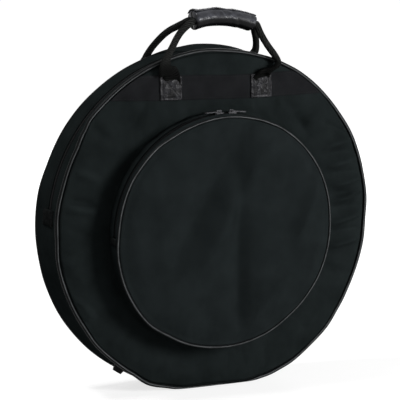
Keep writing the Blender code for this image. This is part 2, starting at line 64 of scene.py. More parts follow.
# %% Sizes of the bag
bag_radius = 0.293
half_depth = 0.042
flat_width = 0.110
middle_z = math.sqrt(bag_radius**2 - (flat_width / 2) ** 2)
panel_radius = 0.2886
panel_crown = 0.007
padding = 0.0112
zip_end_angle = 83.0
band_z = middle_z + 0.232
band_height = 0.040
patch_across = 0.084
handles_middle = -0.0065
handle_z, handle_rise = 0.54609, 0.0905
pocket_radius = 0.200
pocket_z = middle_z - 0.008
pocket_front = -0.094
edge_inner, edge_outer, edge_y = 0.2818, 0.2926, 0.0390
zip_gap_front, zip_gap_back = -0.0160, -0.0040
cloth_underside = 0.2917
main_tape_radius, main_tooth_radius = 0.2912, 0.2916
welt_radius, welt_y, welt_thickness = 0.2914, 0.0404, 0.0030
pocket_edge_inner, pocket_edge_outer = 0.1986, 0.1998
pocket_edge_front, pocket_edge_foot = -0.0903, -0.0460
pocket_welt_y, pocket_welt_thickness = -0.0926, 0.0024
pocket_tape_radius = 0.1982
pocket_half_circle = 89.9
cloth_cap = 0.0035
settling_frames = 18

# %% [markdown]
# Most pieces are made the way one works by hand: a primitive is added, parts of it are picked in edit mode, and
# an operator shapes them. These helpers keep such steps short. An operator acts on all that is selected, so
# each of them first makes sure that nothing else is.

# %% Helpers for picking and editing


def take(piece):
    """Makes one piece the only selected and active one, in object mode."""
    if bpy.context.object and bpy.context.object.mode != "OBJECT":
        bpy.ops.object.mode_set(mode="OBJECT")
    bpy.ops.object.select_all(action="DESELECT")
    piece.select_set(True)
    bpy.context.view_layer.objects.active = piece
    return piece


def begin():
    """Clears the selection before a primitive is added."""
    if bpy.context.object and bpy.context.object.mode != "OBJECT":
        bpy.ops.object.mode_set(mode="OBJECT")
    bpy.ops.object.select_all(action="DESELECT")


def added(name):
    """Names the primitive that was just added, and puts its place into its mesh."""
    piece = take(bpy.context.object)
    piece.name = piece.data.name = name
    bpy.ops.object.transform_apply(location=True, rotation=True, scale=True)
    return piece


def pick(piece, kind, test):
    """Goes into edit mode with only those corners, edges or faces selected whose middle passes the test."""
    take(piece)
    mesh = piece.data
    kinds = {"VERT": mesh.vertices, "EDGE": mesh.edges, "FACE": mesh.polygons}
    for items in kinds.values():
        items.foreach_set("select", [False] * len(items))
    for item in kinds[kind]:
        corners = [item.index] if kind == "VERT" else item.vertices
        middle = sum((mesh.vertices[i].co for i in corners), Vector()) / len(corners)
        item.select = bool(test(middle, None if kind == "EDGE" else item.normal))
    bpy.context.tool_settings.mesh_select_mode = [kind == known for known in kinds]
    bpy.ops.object.mode_set(mode="EDIT")


def pick_all(piece, kind="FACE"):
    pick(piece, kind, lambda middle, normal: True)


def close_up(piece, gap=1e-5):
    """Merges doubled corners, closes open ends and turns every face outwards."""
    pick_all(piece, "VERT")
    bpy.ops.mesh.remove_doubles(threshold=gap)
    bpy.ops.mesh.fill_holes(sides=0)
    bpy.ops.mesh.select_all(action="SELECT")
    bpy.ops.mesh.normals_make_consistent(inside=False)
    bpy.ops.object.mode_set(mode="OBJECT")
    return piece


def modified(piece, kind, **settings):
    """Adds a modifier, sets it and applies it."""
    take(piece)
    modifier = piece.modifiers.new(kind.title(), kind)
    for setting, value in settings.items():
        setattr(modifier, setting, value)
    bpy.ops.object.modifier_apply(modifier=modifier.name)
    return piece


def eased(piece, width, segments=2, angle=50):
    """Rounds the edges at which faces meet at more than an angle."""
    return modified(piece, "BEVEL", width=width, segments=segments, limit_method="ANGLE",
                    angle_limit=math.radians(angle))


def grid(name, columns, rows, size=2):
    """A flat grid of cells, ready to be laid out."""
    begin()
    bpy.ops.mesh.primitive_grid_add(x_subdivisions=columns, y_subdivisions=rows, size=size)
    return added(name)


def smooth(piece, angle=40):
    take(piece)
    bpy.ops.object.shade_smooth_by_angle(angle=math.radians(angle))
    return piece


# %% [markdown]
# Cloth isn't bent corner by corner. It is laid out flat or round first, and then all its corners pass through a
# function that says where the real, soft bag has them. The same way gives a piece its cloth map: the
# place of each corner on the flat cloth, in metres, which the weave in the materials follows.

# %% Helpers for soft shapes


def places_of(piece):
    found = np.empty(len(piece.data.vertices) * 3, np.float32)
    piece.data.vertices.foreach_get("co", found)
    return found.reshape(-1, 3).astype(float)


def reshape(piece, move):
    """Passes the places of all corners through a function."""
    moved = np.asarray(move(places_of(piece)), np.float32)
    piece.data.vertices.foreach_set("co", moved.ravel())
    piece.data.update()
    return piece


def lay_cloth(piece, unroll):
    """Gives a piece a cloth map in metres, from a function that turns places on it into places on flat cloth."""
    mesh = piece.data
    while mesh.uv_layers:
        mesh.uv_layers.remove(mesh.uv_layers[0])
    corners = np.empty(len(mesh.loops), np.int32)
    mesh.loops.foreach_get("vertex_index", corners)
    flat = np.asarray(unroll(places_of(piece)), np.float32)[corners]
    mesh.uv_layers.new(name="cloth").data.foreach_set("uv", flat.ravel())
    return piece


def flat_cloth(places):
    return places[:, [0, 2]]


def angle_of(places, round_z, backwards=False):
    """The angle of each place round a middle at that height, from -180 to 180, or from 0 to 360."""
    angle = np.degrees(np.arctan2(places[:, 0], places[:, 2] - round_z))
    return np.where(angle < 0, angle + 360, angle) if backwards else angle


def rim_cloth(round_z, radius, backwards=False):
    def unroll(places):
        along = np.radians(angle_of(places, round_z, backwards)) * radius
        return np.stack([along, places[:, 1]], 1)
    return unroll


def between(value, knots):
    """Reads a smooth curve through (place, height) knots, which are in order."""
    at, high = np.array(knots, float).T
    i = np.clip(np.searchsorted(at, value) - 1, 0, len(at) - 2)
    t = np.clip((value - at[i]) / (at[i + 1] - at[i]), 0, 1)
    return high[i] + (high[i + 1] - high[i]) * t * t * (3 - 2 * t)


# %% [markdown]
# Two ways of placing things round a middle, and the last steps of most pieces: the cloth map, the finish, the
# shape of the soft bag, the shading, hiding the nodes that the piece replaces, and the body it rides on.

# %% Helpers for placing and finishing


def at_angle(turn, away, x, y, round_z=middle_z):
    """Places on a circle round a middle, where x runs along the circle."""
    return np.stack([away * math.sin(turn) + x * math.cos(turn), y,
                     round_z + away * math.cos(turn) - x * math.sin(turn)], 1)


def to_radius(x, y, z, away, more, round_z):
    """Moves places at one radius to another, along the way from the middle."""
    return np.stack([x * more / away, y, round_z + (z - round_z) * more / away], 1)


def dressed(piece, finish, angle, body, replaced=(), settle=None, cloth=None):
    if cloth:
        lay_cloth(piece, cloth)
    piece.data.materials.append(finish)
    if settle:
        reshape(piece, settle)
    smooth(piece, angle)
    if replaced:
        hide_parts(*replaced)
    if body:
        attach(piece, body)
    return piece


# %% [markdown]
# In the picture the welts aren't true circles. The front one stands out at the upper left, has a corner where
# it turns straight down, and draws in at the right. These departures are in millimetres, by angle. They aren't
# designed: a measuring script read them from the picture every 6 to 10 degrees, and they were then evened and
# rounded by hand. Everything that belongs to the bag's rim passes through the same function, so cloth, welts,
# zips and stitches stay together.

# %% The real outline of the bag
front_rim_mm = ((-180, 1.2), (-172, 1.4), (-164, 2.4), (-156, 6.2), (-148, 1.6), (-140, 0.6), (-132, 1.2),
                (-124, -0.9), (-112, -0.6), (-100, 0.4), (-92, -1.8), (-84, -0.5), (-74, -1.9), (-62, -1.2),
                (-56, 2.6), (-51, 6.3), (-44, 4.9), (-28, 4.6), (-8, 4.3), (4, 2.2), (14, 2.8), (24, 4.8),
                (32, 6.3), (52, 6.5), (62, 8.4), (76, 7.6), (84, 8.0), (92, 5.6), (100, 7.0), (116, 7.0),
                (124, 8.6), (132, 11.2), (140, 10.4), (148, 11.2), (156, 9.0), (164, 5.4), (172, 2.8), (180, 1.2))
back_rim_mm = ((-180, 1.0), (-158, 7.0), (-152, 5.0), (-140, 4.4), (-122, 3.6), (-110, 2.8), (-102, 2.2), (-92, 2.4),
               (-80, 2.8), (-68, 0.2), (-50, 0.4), (-38, -0.6), (-24, -1.0), (-8, 2.0), (0, 4.6), (14, 6.2),
               (30, 3.0), (70, 3.0), (96, 2.0), (140, 5.0), (165, 2.0), (180, 1.0))
pocket_rim_mm = ((-180, -1.4), (-150, 2.2), (-133, 7.6), (-112, 7.2), (-100, 6.4), (-85, 3.8), (-62, 4.6), (-52, 2.8),
                 (-44, 2.0), (-30, -2.4), (-20, -3.5), (10, -3.2), (20, -2.2), (30, -0.9), (60, -0.6), (75, -1.4),
                 (84, -2.7), (115, -2.2), (130, -3.6), (142, -4.4), (160, -2.7), (180, -1.4))


def settled(places):
    """Where the soft bag has the places of the ideal round one."""
    x, y, z = places.T
    away = np.hypot(x, z - middle_z)
    angle = angle_of(places, middle_z)
    wave = (np.clip((-0.016 - y) / 0.0244, 0, 1) * between(angle, front_rim_mm)
            + np.clip((y + 0.004) / 0.0444, 0, 1) * between(angle, back_rim_mm))
    reach = np.clip(away / bag_radius, 0, 1)
    away = away + wave / 1000 * reach**4
    turn = np.radians(angle)
    lowest = middle_z - np.maximum(bag_radius - away, 0) - 0.0002
    down = -away * np.cos(turn)
    pressed = np.minimum(down, lowest)
    soft = 0.002
    pressed = np.where(down > 0, (down + lowest - np.sqrt((down - lowest) ** 2 + soft**2)) / 2, pressed)
    return np.stack([away * np.sin(turn), y, middle_z - pressed], 1)


def pocket_settled(places):
    """Where the soft pocket has the places of the ideal round one."""
    x, y, z = places.T
    away = np.hypot(x, z - pocket_z)
    angle = angle_of(places, pocket_z)
    wave = between(angle, pocket_rim_mm) * np.clip((-0.0700 - y) / 0.0226, 0, 1)
    away = away + wave / 1000 * np.clip(away / pocket_radius, 0, 1) ** 4
    turn = np.radians(angle)
    return np.stack([away * np.sin(turn), y, pocket_z + away * np.cos(turn)], 1)


# %% [markdown]
# A padded panel stands out a few millimetres from its rim, evenly, with soft folds where the cloth has been
# pressed in storage. Each fold is a low ridge, or a hollow, that runs from one point to another. They are
# measured from the panel's middle, in millimetres: where it starts, where it ends, its width and its height. The
# pleats are narrow folds, which gather the front's cloth at its rim. They are pressed in last.

# %% Soft folds of the panels
front_folds = ((-205, 150, -150, 196, 30, -4.4), (-132, 206, -160, 166, 11, -5.4), (-108, 206, -138, 160, 13, 4.0),
               (-234, 185, -208, 150, 7, -4.0), (-220, 190, -190, 158, 9, 3.4), (-270, 56, -232, 51, 6, -3.4),
               (-270, 44, -230, 36, 8, 3.6), (-272, 10, -234, -6, 9, -2.6), (-272, -60, -232, -30, 14, 2.8),
               (-276, -92, -224, -150, 8, 3.4), (-262, -96, -214, -148, 8, -3.4), (-284, -46, -246, -86, 9, 2.8),
               (-236, -160, -196, -130, 8, -2.8), (-204, -196, -160, -158, 14, 3.0),
               (174, -188, 218, -158, 14, 3.0), (30, -232, 90, -240, 16, 2.0), (-90, -240, -30, -236, 18, -2.0),
               (-60, 262, 30, 272, 10, 2.2), (60, 262, 120, 246, 10, -2.0))
front_pleats = ((108, 206, 140, 176, 12, 6.0), (122, 204, 176, 142, 13, -7.0), (164, 160, 200, 192, 9, 6.0),
                (202, 160, 254, 140, 8, -7.0), (206, 120, 280, 137, 7, 8.0), (212, 108, 278, 110, 8, -6.0),
                (212, 86, 282, 100, 7, 8.0), (216, 74, 284, 74, 7, -6.0), (224, 52, 286, 64, 6, 7.0),
                (222, 40, 284, 34, 7, -6.0), (226, 24, 294, 44, 6, 9.0), (222, 12, 286, 14, 8, -6.0),
                (212, -16, 286, 2, 7, 9.0), (218, -30, 284, -26, 7, -5.5), (216, -56, 282, -42, 7, 7.5),
                (214, -76, 270, -96, 10, 5.0), (-258, 100, -220, 84, 7, 3.6), (-272, 52, -226, 45, 6, -4.6),
                (-274, 36, -226, 34, 7, 3.6), (-282, -120, -236, -150, 7, 3.6))
back_folds = ((-190, 90, -120, 150, 30, 2.4), (60, -40, 150, 80, 40, 2.8), (-120, -200, -40, -120, 30, 2.2),
              (160, -150, 210, -80, 16, -2.2), (-240, -40, -180, 10, 12, 2.2), (180, 110, 240, 60, 12, 2.2),
              (-40, 60, 0, -60, 45, -2.2), (20, -230, 90, -200, 16, 2.0))
pocket_folds = ((92, 204, -64, -76, 23, 14.5), (34, 196, -104, -44, 22, -9.0), (-104, -50, -50, -160, 26, 3.0),
                (15, 116, 22, -182, 17, -12.5), (70, 70, 66, -150, 26, 3.0), (182, 110, 128, -26, 15, 9.5),
                (118, 130, 98, 30, 20, -3.0), (-140, 130, -106, -136, 15, 2.8), (-180, 60, -160, -70, 13, 3.0),
                (-92, 168, -50, 172, 15, 2.4), (132, -62, 44, -150, 15, 7.0), (-46, -110, -40, -178, 20, -2.0),
                (176, -20, 160, -80, 12, 3.2))


def folds(x, z, table):
    """How far soft folds raise the cloth at (x, z), measured from the panel's middle."""
    total = np.zeros_like(x)
    for row in table:
        ax, az, bx, bz, width, height = (value / 1000 for value in row)
        long = math.hypot(bx - ax, bz - az)
        along = ((x - ax) * (bx - ax) + (z - az) * (bz - az)) / long**2
        across = ((x - ax) * (bz - az) - (z - az) * (bx - ax)) / long
        total += height * np.exp(-np.abs(across / width) ** 1.7 - np.abs(2 * along - 1) ** 5)
    return total


def front_face(x, z):
    """How far forward the front's outer cloth lies at a place, as a value of y."""
    dx, dz = x, z - middle_z
    reach = np.clip(np.hypot(dx, dz) / panel_radius, 0, 1)
    return -(half_depth + panel_crown * (1 - reach**14) + folds(dx, dz, front_folds) * (1 - reach**36))


def back_face(x, z):
    dx, dz = x, z - middle_z
    reach = np.clip(np.hypot(dx, dz) / panel_radius, 0, 1)
    return half_depth + panel_crown * (1 - reach**14) + folds(dx, dz, back_folds) * (1 - reach**16)


def pocket_face(x, z):
    dx, dz = x, z - pocket_z
    reach = np.clip(np.hypot(dx, dz) / pocket_radius, 0, 1)
    return pocket_front - 0.0022 * (1 - reach**10) - folds(dx, dz, pocket_folds) * (1 - reach**12)


# %% [markdown]
# The picture was taken from the bag's left front, a little above its middle, with a long lens. The camera
# stands there. Its shift puts the bag at the same place in the frame. The floor is pale and plain, and to the
# camera it adds some light of its own, so that it comes out white with a soft shadow under the bag.

# %% Camera
camera_away, sensor_mm, focal_pixels, picture_pixels = 3.087, 36, 1785, 400
view_yaw, view_pitch, view_roll = (math.radians(angle) for angle in (26.4, 10.1, 0.93))
view_back = Vector((-math.sin(view_yaw) * math.cos(view_pitch), -math.cos(view_yaw) * math.cos(view_pitch),
                    math.sin(view_pitch)))
view_right = Vector((math.cos(view_yaw), -math.sin(view_yaw), 0))
view_up = view_back.cross(view_right)
rolled_right = view_right * math.cos(view_roll) + view_up * math.sin(view_roll)
rolled_up = view_up * math.cos(view_roll) - view_right * math.sin(view_roll)
camera = bpy.data.objects.new("camera", bpy.data.cameras.new("camera"))
bpy.context.scene.collection.objects.link(camera)
bpy.context.scene.camera = camera
camera.matrix_world = (Matrix.Translation(Vector((0, 0, middle_z)) + view_back * camera_away)
                       @ Matrix((rolled_right, rolled_up, view_back)).transposed().to_4x4())
camera.data.sensor_width = sensor_mm
camera.data.lens = sensor_mm * focal_pixels / picture_pixels
camera.data.shift_x, camera.data.shift_y = -4.5 / picture_pixels, 18.6 / picture_pixels
print("camera stands at", [round(value, 2) for value in camera.location])

# %% [markdown]
# Materials are built from nodes. This helper adds one node, sets its values and wires what is given as another
# node's output, so that a whole finish reads as a short list.

# %% Helper for materials


def add_node(tree, kind, inputs=None, **properties):
    made = tree.nodes.new("ShaderNode" + kind)
    for key, value in properties.items():
        setattr(made, key, value)
    for key, value in (inputs or {}).items():
        if isinstance(value, bpy.types.NodeSocket):
            tree.links.new(value, made.inputs[key])
        else:
            made.inputs[key].default_value = value
    return made


def ranged(tree, value, low, high, to_low, to_high, kind="LINEAR"):
    """Turns one span of values into another."""
    return add_node(tree, "MapRange", {"Value": value, "From Min": low, "From Max": high, "To Min": to_low,
                                       "To Max": to_high}, interpolation_type=kind).outputs[0]


def new_finish(name, colour, roughness, **sockets):
    """A Principled material. Numbers that are the same all over go straight on the shader."""
    material = bpy.data.materials.new(name)
    material.use_nodes = True
    tree = material.node_tree
    shader = tree.nodes["Principled BSDF"]
    shader.inputs["Base Color"].default_value = (*colour, 1)
    shader.inputs["Roughness"].default_value = roughness
    for socket, value in sockets.items():
        shader.inputs[socket.replace("_", " ")].default_value = value
    return material, tree, shader


def two_tones(tree, factor, colour, places, change):
    """A ramp from a darker to a paler share of a colour."""
    ramp = add_node(tree, "ValToRGB", {"Fac": factor})
    for element, place, share in zip(ramp.color_ramp.elements, places, (1 - change, 1 + change)):
        element.position = place
        element.color = (*(value * share for value in colour), 1)
    return ramp.outputs["Color"]


def mottle(tree, shader, colour, change, size):
    """Lets the colour vary softly over the surface, as dye, dust and handling do. Returns the places on the object
    and the colour."""
    where = add_node(tree, "TexCoord")
    cloud = add_node(tree, "TexNoise", {"Vector": where.outputs["Object"], "Scale": 1 / size,
                                        "Detail": 4.0, "Roughness": 0.6})
    tone = two_tones(tree, cloud.outputs["Fac"], colour, (0.3, 0.7), change)
    tree.links.new(tone, shader.inputs["Base Color"])
    return where.outputs["Object"], tone


def raised(tree, shader, height, distance, strength=1.0, under=None):
    """Turns a height into relief on the shader, on top of any relief under it."""
    inputs = {"Height": height, "Distance": distance, "Strength": strength}
    if under:
        inputs["Normal"] = under.outputs["Normal"]
    bump = add_node(tree, "Bump", inputs)
    tree.links.new(bump.outputs["Normal"], shader.inputs["Normal"])
    return bump


# %% [markdown]
# The floor and the world. A white studio shows white to the camera and in every reflection, while the light
# that reaches the bag stays at a plain level.

# %% Floor, world and lamps


def seen_directly(tree):
    """1 for rays from the camera, from mirrors and through glass."""
    path = add_node(tree, "LightPath")
    first = add_node(tree, "Math", {0: path.outputs["Is Camera Ray"],
                                    1: path.outputs["Is Glossy Ray"]}, operation="MAXIMUM")
    return add_node(tree, "Math", {0: first.outputs[0], 1: path.outputs["Is Transmission Ray"]},
                    operation="MAXIMUM").outputs[0]


begin()
bpy.ops.mesh.primitive_plane_add(size=80, location=(0, 0, -0.0006))
floor = added("studio_floor")
floor_finish, floor_tree, floor_shader = new_finish("pale_floor", (0.42, 0.42, 0.42), 0.9)
floor_shader.inputs["Specular IOR Level"].default_value = 0.0
floor_place = add_node(floor_tree, "TexCoord")
floor_away = add_node(floor_tree, "VectorMath", {0: floor_place.outputs["Object"]}, operation="LENGTH")
floor_white = ranged(floor_tree, floor_away.outputs["Value"], 0.35, 2.2, 0.74, 0.98, "SMOOTHSTEP")
floor_glow = add_node(floor_tree, "Math", {0: seen_directly(floor_tree), 1: floor_white},
                      operation="MULTIPLY")
floor_shader.inputs["Emission Color"].default_value = (1, 1, 1, 1)
floor_tree.links.new(floor_glow.outputs[0], floor_shader.inputs["Emission Strength"])
floor.data.materials.append(floor_finish)

world = bpy.data.worlds.new("studio")
bpy.context.scene.world = world
world.use_nodes = True
world_light = world.node_tree.nodes["Background"]
world_light.inputs["Color"].default_value = (1, 1, 1, 1)
ambient = 0.09
world_strength = ranged(world.node_tree, seen_directly(world.node_tree), 0.0, 1.0, ambient, 1.0)
world.node_tree.links.new(world_strength, world_light.inputs["Strength"])


def soft_lamp(name, place, aim, size, energy):
    data = bpy.data.lights.new(name, "AREA")
    data.size, data.energy = size, energy
    made = bpy.data.objects.new(name, data)
    bpy.context.scene.collection.objects.link(made)
    made.location = place
    made.rotation_euler = (Vector(aim) - Vector(place)).to_track_quat("-Z", "Y").to_euler()


soft_lamp("key", (1.72, -2.50, 1.10), (0, 0, middle_z), 1.0, 101)
soft_lamp("back", (1.7, 2.6, 1.0), (0, 0, middle_z), 1.6, 34)
soft_lamp("top", (-1.15, 0.20, 2.8), (0, 0, middle_z), 0.7, 52)
soft_lamp("fill", (-1.0, -3.2, 0.8), (0, 0, middle_z), 2.0, 17)

scene = bpy.context.scene
scene.view_settings.view_transform = "Standard"
print("lamps:", [light.name for light in bpy.data.lights])

# %% [markdown]
# The bag's cloth is a coated polyester in plain weave: threads pass over and under each other, a little more
# than half a millimetre apart. Two wave patterns make the threads of each direction, and a checker says which
# one lies on top. The light that such cloth gives back is dull and a little bluish green.

# %% Woven cloth


def woven(name, colour, pitch, depth, roughness, change=0.14, **sockets):
    material, tree, shader = new_finish(name, colour, roughness, **sockets)
    where, _ = mottle(tree, shader, colour, change, 0.05)
    cloth = add_node(tree, "UVMap", uv_map="cloth")
    threads = add_node(tree, "Mapping", {"Vector": cloth.outputs["UV"],
                                         "Scale": (1 / pitch, 1 / pitch, 1)})
    one_thread = 2 * math.pi / 20
    warp, weft = (add_node(tree, "TexWave", {"Vector": threads.outputs["Vector"], "Scale": one_thread,
                                             "Distortion": 0.3, "Detail": 1.0},
                           bands_direction=way) for way in "XY")
    over = add_node(tree, "TexChecker", {"Vector": threads.outputs["Vector"], "Scale": 1.0})
    height = add_node(tree, "Mix", {0: over.outputs["Fac"], 2: warp.outputs["Fac"],
                                    3: weft.outputs["Fac"]})
    slub = add_node(tree, "TexNoise", {"Vector": where, "Scale": 260.0, "Detail": 3.0})
    grain = raised(tree, shader, slub.outputs["Fac"], 0.0004, 0.35)
    raised(tree, shader, height.outputs[0], depth, 0.7, under=grain)
    return material


bag_cloth = woven("bag_cloth", (0.0106, 0.0136, 0.0138), 0.0006, 0.00012, 0.72, 0.22, Specular_IOR_Level=0.0)
pocket_cloth = woven("pocket_cloth", (0.0114, 0.0144, 0.0149), 0.0006, 0.00012, 0.70, 0.18, Specular_IOR_Level=0.0)
lining_cloth = woven("lining_cloth", (0.035, 0.036, 0.040), 0.0004, 0.00006, 0.6, Specular_IOR_Level=0.2)
tape_cloth = woven("tape_cloth", (0.006, 0.0066, 0.0066), 0.0009, 0.0002, 0.80, Specular_IOR_Level=0.0)
print("cloths:", bag_cloth.name, pocket_cloth.name, lining_cloth.name, tape_cloth.name)

# %% [markdown]
# The leatherette of the grip and the patches is smoother than the cloth, softly creased, and a little blue, with
# shade painted into its creases. The welts are wrapped in vinyl, with a painted highlight line along them. The
# zip's sliders are lacquered metal, and the feet are rubber. Webbing shows the thick ribs of its yarn along its
# length, with shade painted between them, and the handles are a soft tubular weave.

# %% Leatherette, vinyl, webbing, metal and rubber


def leathery(name, colour, grain, roughness, crease=0.0006, depth=0.5, size=0.010, detail=5.0, **sockets):
    """Grain over soft creases, with shade painted into their hollows and their tops painted paler. The tops are also
    smoother, where they wear.
    """
    material, tree, shader = new_finish(name, colour, roughness, **sockets)
    where = add_node(tree, "TexCoord")
    pores = add_node(tree, "TexVoronoi", {"Vector": where.outputs["Object"], "Scale": 1 / grain},
                     feature="SMOOTH_F1")
    creases = add_node(tree, "TexNoise", {"Vector": where.outputs["Object"], "Scale": 1 / size,
                                          "Detail": detail, "Roughness": 0.55, "Distortion": 0.9})
    # Painted shade: the colour is darker in the creases' hollows and paler on their tops; depth sets how much.
    tree.links.new(two_tones(tree, creases.outputs["Fac"], colour, (0.38, 0.64), depth), shader.inputs["Base Color"])
    deep = raised(tree, shader, creases.outputs["Fac"], crease, 0.9)
    raised(tree, shader, pores.outputs["Distance"], 0.00015, 0.4, under=deep)
    smoothness_and_painted_light = ranged(tree, creases.outputs["Fac"], 0.35, 0.65, roughness + 0.16, roughness - 0.06)
    tree.links.new(smoothness_and_painted_light, shader.inputs["Roughness"])
    return material


def ribbed(name, colour, pitch, depth, roughness, along="Y", rib_shade=0.25, **sockets):
    """Yarn ribs that run along the cloth map's first direction, with a fine twill across them. Shade is painted
    between the ribs, and the yarn is painted paler on them."""
    material, tree, shader = new_finish(name, colour, roughness, **sockets)
    _, tone = mottle(tree, shader, colour, 0.18, 0.02)
    cloth = add_node(tree, "UVMap", uv_map="cloth")
    yarns = add_node(tree, "Mapping", {"Vector": cloth.outputs["UV"], "Scale": (1 / pitch, 1 / pitch, 1)})
    rib = add_node(tree, "TexWave", {"Vector": yarns.outputs["Vector"], "Scale": 2 * math.pi / 20},
                   bands_direction=along)
    twill = add_node(tree, "TexWave", {"Vector": yarns.outputs["Vector"], "Scale": 2 * math.pi / 20 * 1.3},
                     bands_direction="DIAGONAL")
    height = add_node(tree, "Mix", {0: 0.4, 2: rib.outputs["Fac"], 3: twill.outputs["Fac"]})
    raised(tree, shader, height.outputs[0], depth, 0.8)
    # Painted shade: darker between the ribs and paler on them.
    paler = ranged(tree, height.outputs[0], 0.2, 0.8, 1 - rib_shade, 1 + rib_shade)
    yarn = add_node(tree, "VectorMath", {0: tone, "Scale": paler}, operation="SCALE")
    tree.links.new(yarn.outputs["Vector"], shader.inputs["Base Color"])
    return material


def handled(material):
    """Paints light and shade into a grip's leather: a paler top, a painted highlight band along its front, and
    painted shade underneath. The grid that the grip is wrapped from has its second map direction from 0 on top to
    0.75 at the bottom."""
    tree = material.node_tree
    shader = tree.nodes["Principled BSDF"]
    plain = shader.inputs["Base Color"].links[0].from_socket
    wrap = add_node(tree, "UVMap", uv_map="cloth")
    split = add_node(tree, "SeparateXYZ", {"Vector": wrap.outputs["UV"]})
    smoothness_and_painted_light = add_node(tree, "ValToRGB", {"Fac": split.outputs["Y"]})
    stops = smoothness_and_painted_light.color_ramp.elements
    for _ in range(4):
        stops.new(0.5)
    # Painted light and shade down the grip's section: paler top, painted highlight band, painted shade underneath.
    for stop, (place, share) in zip(stops, ((0.0, 1.3), (0.22, 0.9), (0.31, 1.5), (0.36, 0.8), (0.40, 0.12),
                                            (0.72, 0.04))):
        stop.position = place
        stop.color = (share / 1.5, share / 1.5, share / 1.5, 1)
    stronger = add_node(tree, "VectorMath", {0: smoothness_and_painted_light.outputs["Color"], "Scale": 1.5}, operation="SCALE")
    product = add_node(tree, "VectorMath", {0: plain, 1: stronger.outputs["Vector"]}, operation="MULTIPLY")
    tree.links.new(product.outputs["Vector"], shader.inputs["Base Color"])


def vinyl_with_painted_highlight(name, colour, crest, roughness, **sockets):
    """Vinyl over a cord, with a painted highlight: a pale line along its crest, where the cloth map's second
    direction is 0.
    """
    material, tree, shader = new_finish(name, colour, roughness, **sockets)
    cloth = add_node(tree, "UVMap", uv_map="cloth")
    split = add_node(tree, "SeparateXYZ", {"Vector": cloth.outputs["UV"]})
    aside = add_node(tree, "Math", {0: split.outputs["Y"]}, operation="ABSOLUTE")
    # Painted highlight: the colour turns pale along the crest.
    pale = ranged(tree, aside.outputs[0], 0.0002, 0.0012, 1.0, 0.0, "SMOOTHSTEP")
    where, tone = mottle(tree, shader, crest, 0.45, 0.018)
    mixed = add_node(tree, "Mix", {"Factor": pale}, data_type="RGBA")
    mixed.inputs[6].default_value = (*colour, 1)
    tree.links.new(tone, mixed.inputs[7])
    tree.links.new(mixed.outputs[2], shader.inputs["Base Color"])
    pores = add_node(tree, "TexVoronoi", {"Vector": where, "Scale": 1100.0})
    raised(tree, shader, pores.outputs["Distance"], 0.0001, 0.3)
    return material


def painted_shade_below(material, low, high, least):
    """Painted shade: the colour falls to a share of itself between two heights, darker towards the bottom."""
    tree = material.node_tree
    shader = tree.nodes["Principled BSDF"]
    plain = shader.inputs["Base Color"].links[0].from_socket
    where = add_node(tree, "TexCoord")
    split = add_node(tree, "SeparateXYZ", {"Vector": where.outputs["Object"]})
    share = ranged(tree, split.outputs["Z"], low, high, least, 1.0, "SMOOTHSTEP")
    product = add_node(tree, "VectorMath", {0: plain, "Scale": share}, operation="SCALE")
    tree.links.new(product.outputs["Vector"], shader.inputs["Base Color"])


# The flap on the grip's top gets a paler copy of the grip's leather: painted light where the top is lit.
grip_leather = leathery("grip_leather", (0.044, 0.044, 0.049), 0.0011, 0.30, 0.0007, 0.45, 0.016,
                        Specular_IOR_Level=0.10)
# The grip's halves get painted light and shade down their section.
handled_leather = leathery("handled_leather", (0.030, 0.031, 0.036), 0.0011, 0.24, 0.0006, 0.40, 0.016,
                           Specular_IOR_Level=0.10)
handled(handled_leather)
patch_leather = leathery("patch_leather", (0.0085, 0.0085, 0.0100), 0.0012, 0.36, 0.0024, 0.70, 0.0095, 2.0,
                         Specular_IOR_Level=0.10)
tab_leather = leathery("tab_leather", (0.0095, 0.0105, 0.0105), 0.0012, 0.6, 0.0010, 0.35, Specular_IOR_Level=0.0)
# The welts' pale crest colour is a painted highlight.
welt_vinyl = vinyl_with_painted_highlight("welt_vinyl", (0.0050, 0.0055, 0.0058), (0.066, 0.070, 0.072), 0.35, Specular_IOR_Level=0.04)
webbing = ribbed("webbing", (0.0111, 0.0116, 0.0126), 0.0016, 0.0005, 0.8, along="X", Specular_IOR_Level=0.0)
# The straps' weave has strong painted shade between its ribs.
strap_weave = ribbed("strap_weave", (0.0150, 0.0156, 0.0150), 0.0023, 0.0010, 0.80, along="DIAGONAL", rib_shade=0.7,
                     Specular_IOR_Level=0.0)
# Painted shade on the straps low down, near the patches.
painted_shade_below(strap_weave, 0.548, 0.578, 0.35)
thread = ribbed("thread", (0.012, 0.013, 0.0135), 0.0004, 0.0001, 0.6, Specular_IOR_Level=0.04)
patch_thread = ribbed("patch_thread", (0.029, 0.029, 0.032), 0.0004, 0.0001, 0.5, Specular_IOR_Level=0.1)


def lacquered(name, colour, roughness, metallic, **sockets):
    material, tree, shader = new_finish(name, colour, roughness, Metallic=metallic, **sockets)
    where, _ = mottle(tree, shader, colour, 0.12, 0.006)
    rubbed = add_node(tree, "TexNoise", {"Vector": where, "Scale": 900.0, "Detail": 3.0})
    spread = ranged(tree, rubbed.outputs["Fac"], 0.0, 1.0, roughness - 0.08, roughness + 0.1)
    tree.links.new(spread, shader.inputs["Roughness"])
    raised(tree, shader, rubbed.outputs["Fac"], 0.00003, 0.3)
    return material


zip_metal = lacquered("zip_metal", (0.032, 0.032, 0.034), 0.34, 1.0)
coil_nylon = lacquered("coil_nylon", (0.007, 0.007, 0.0075), 0.5, 0.0, Specular_IOR_Level=0.02)
foot_rubber = lacquered("foot_rubber", (0.006, 0.006, 0.0065), 0.62, 0.0, Specular_IOR_Level=0.06)


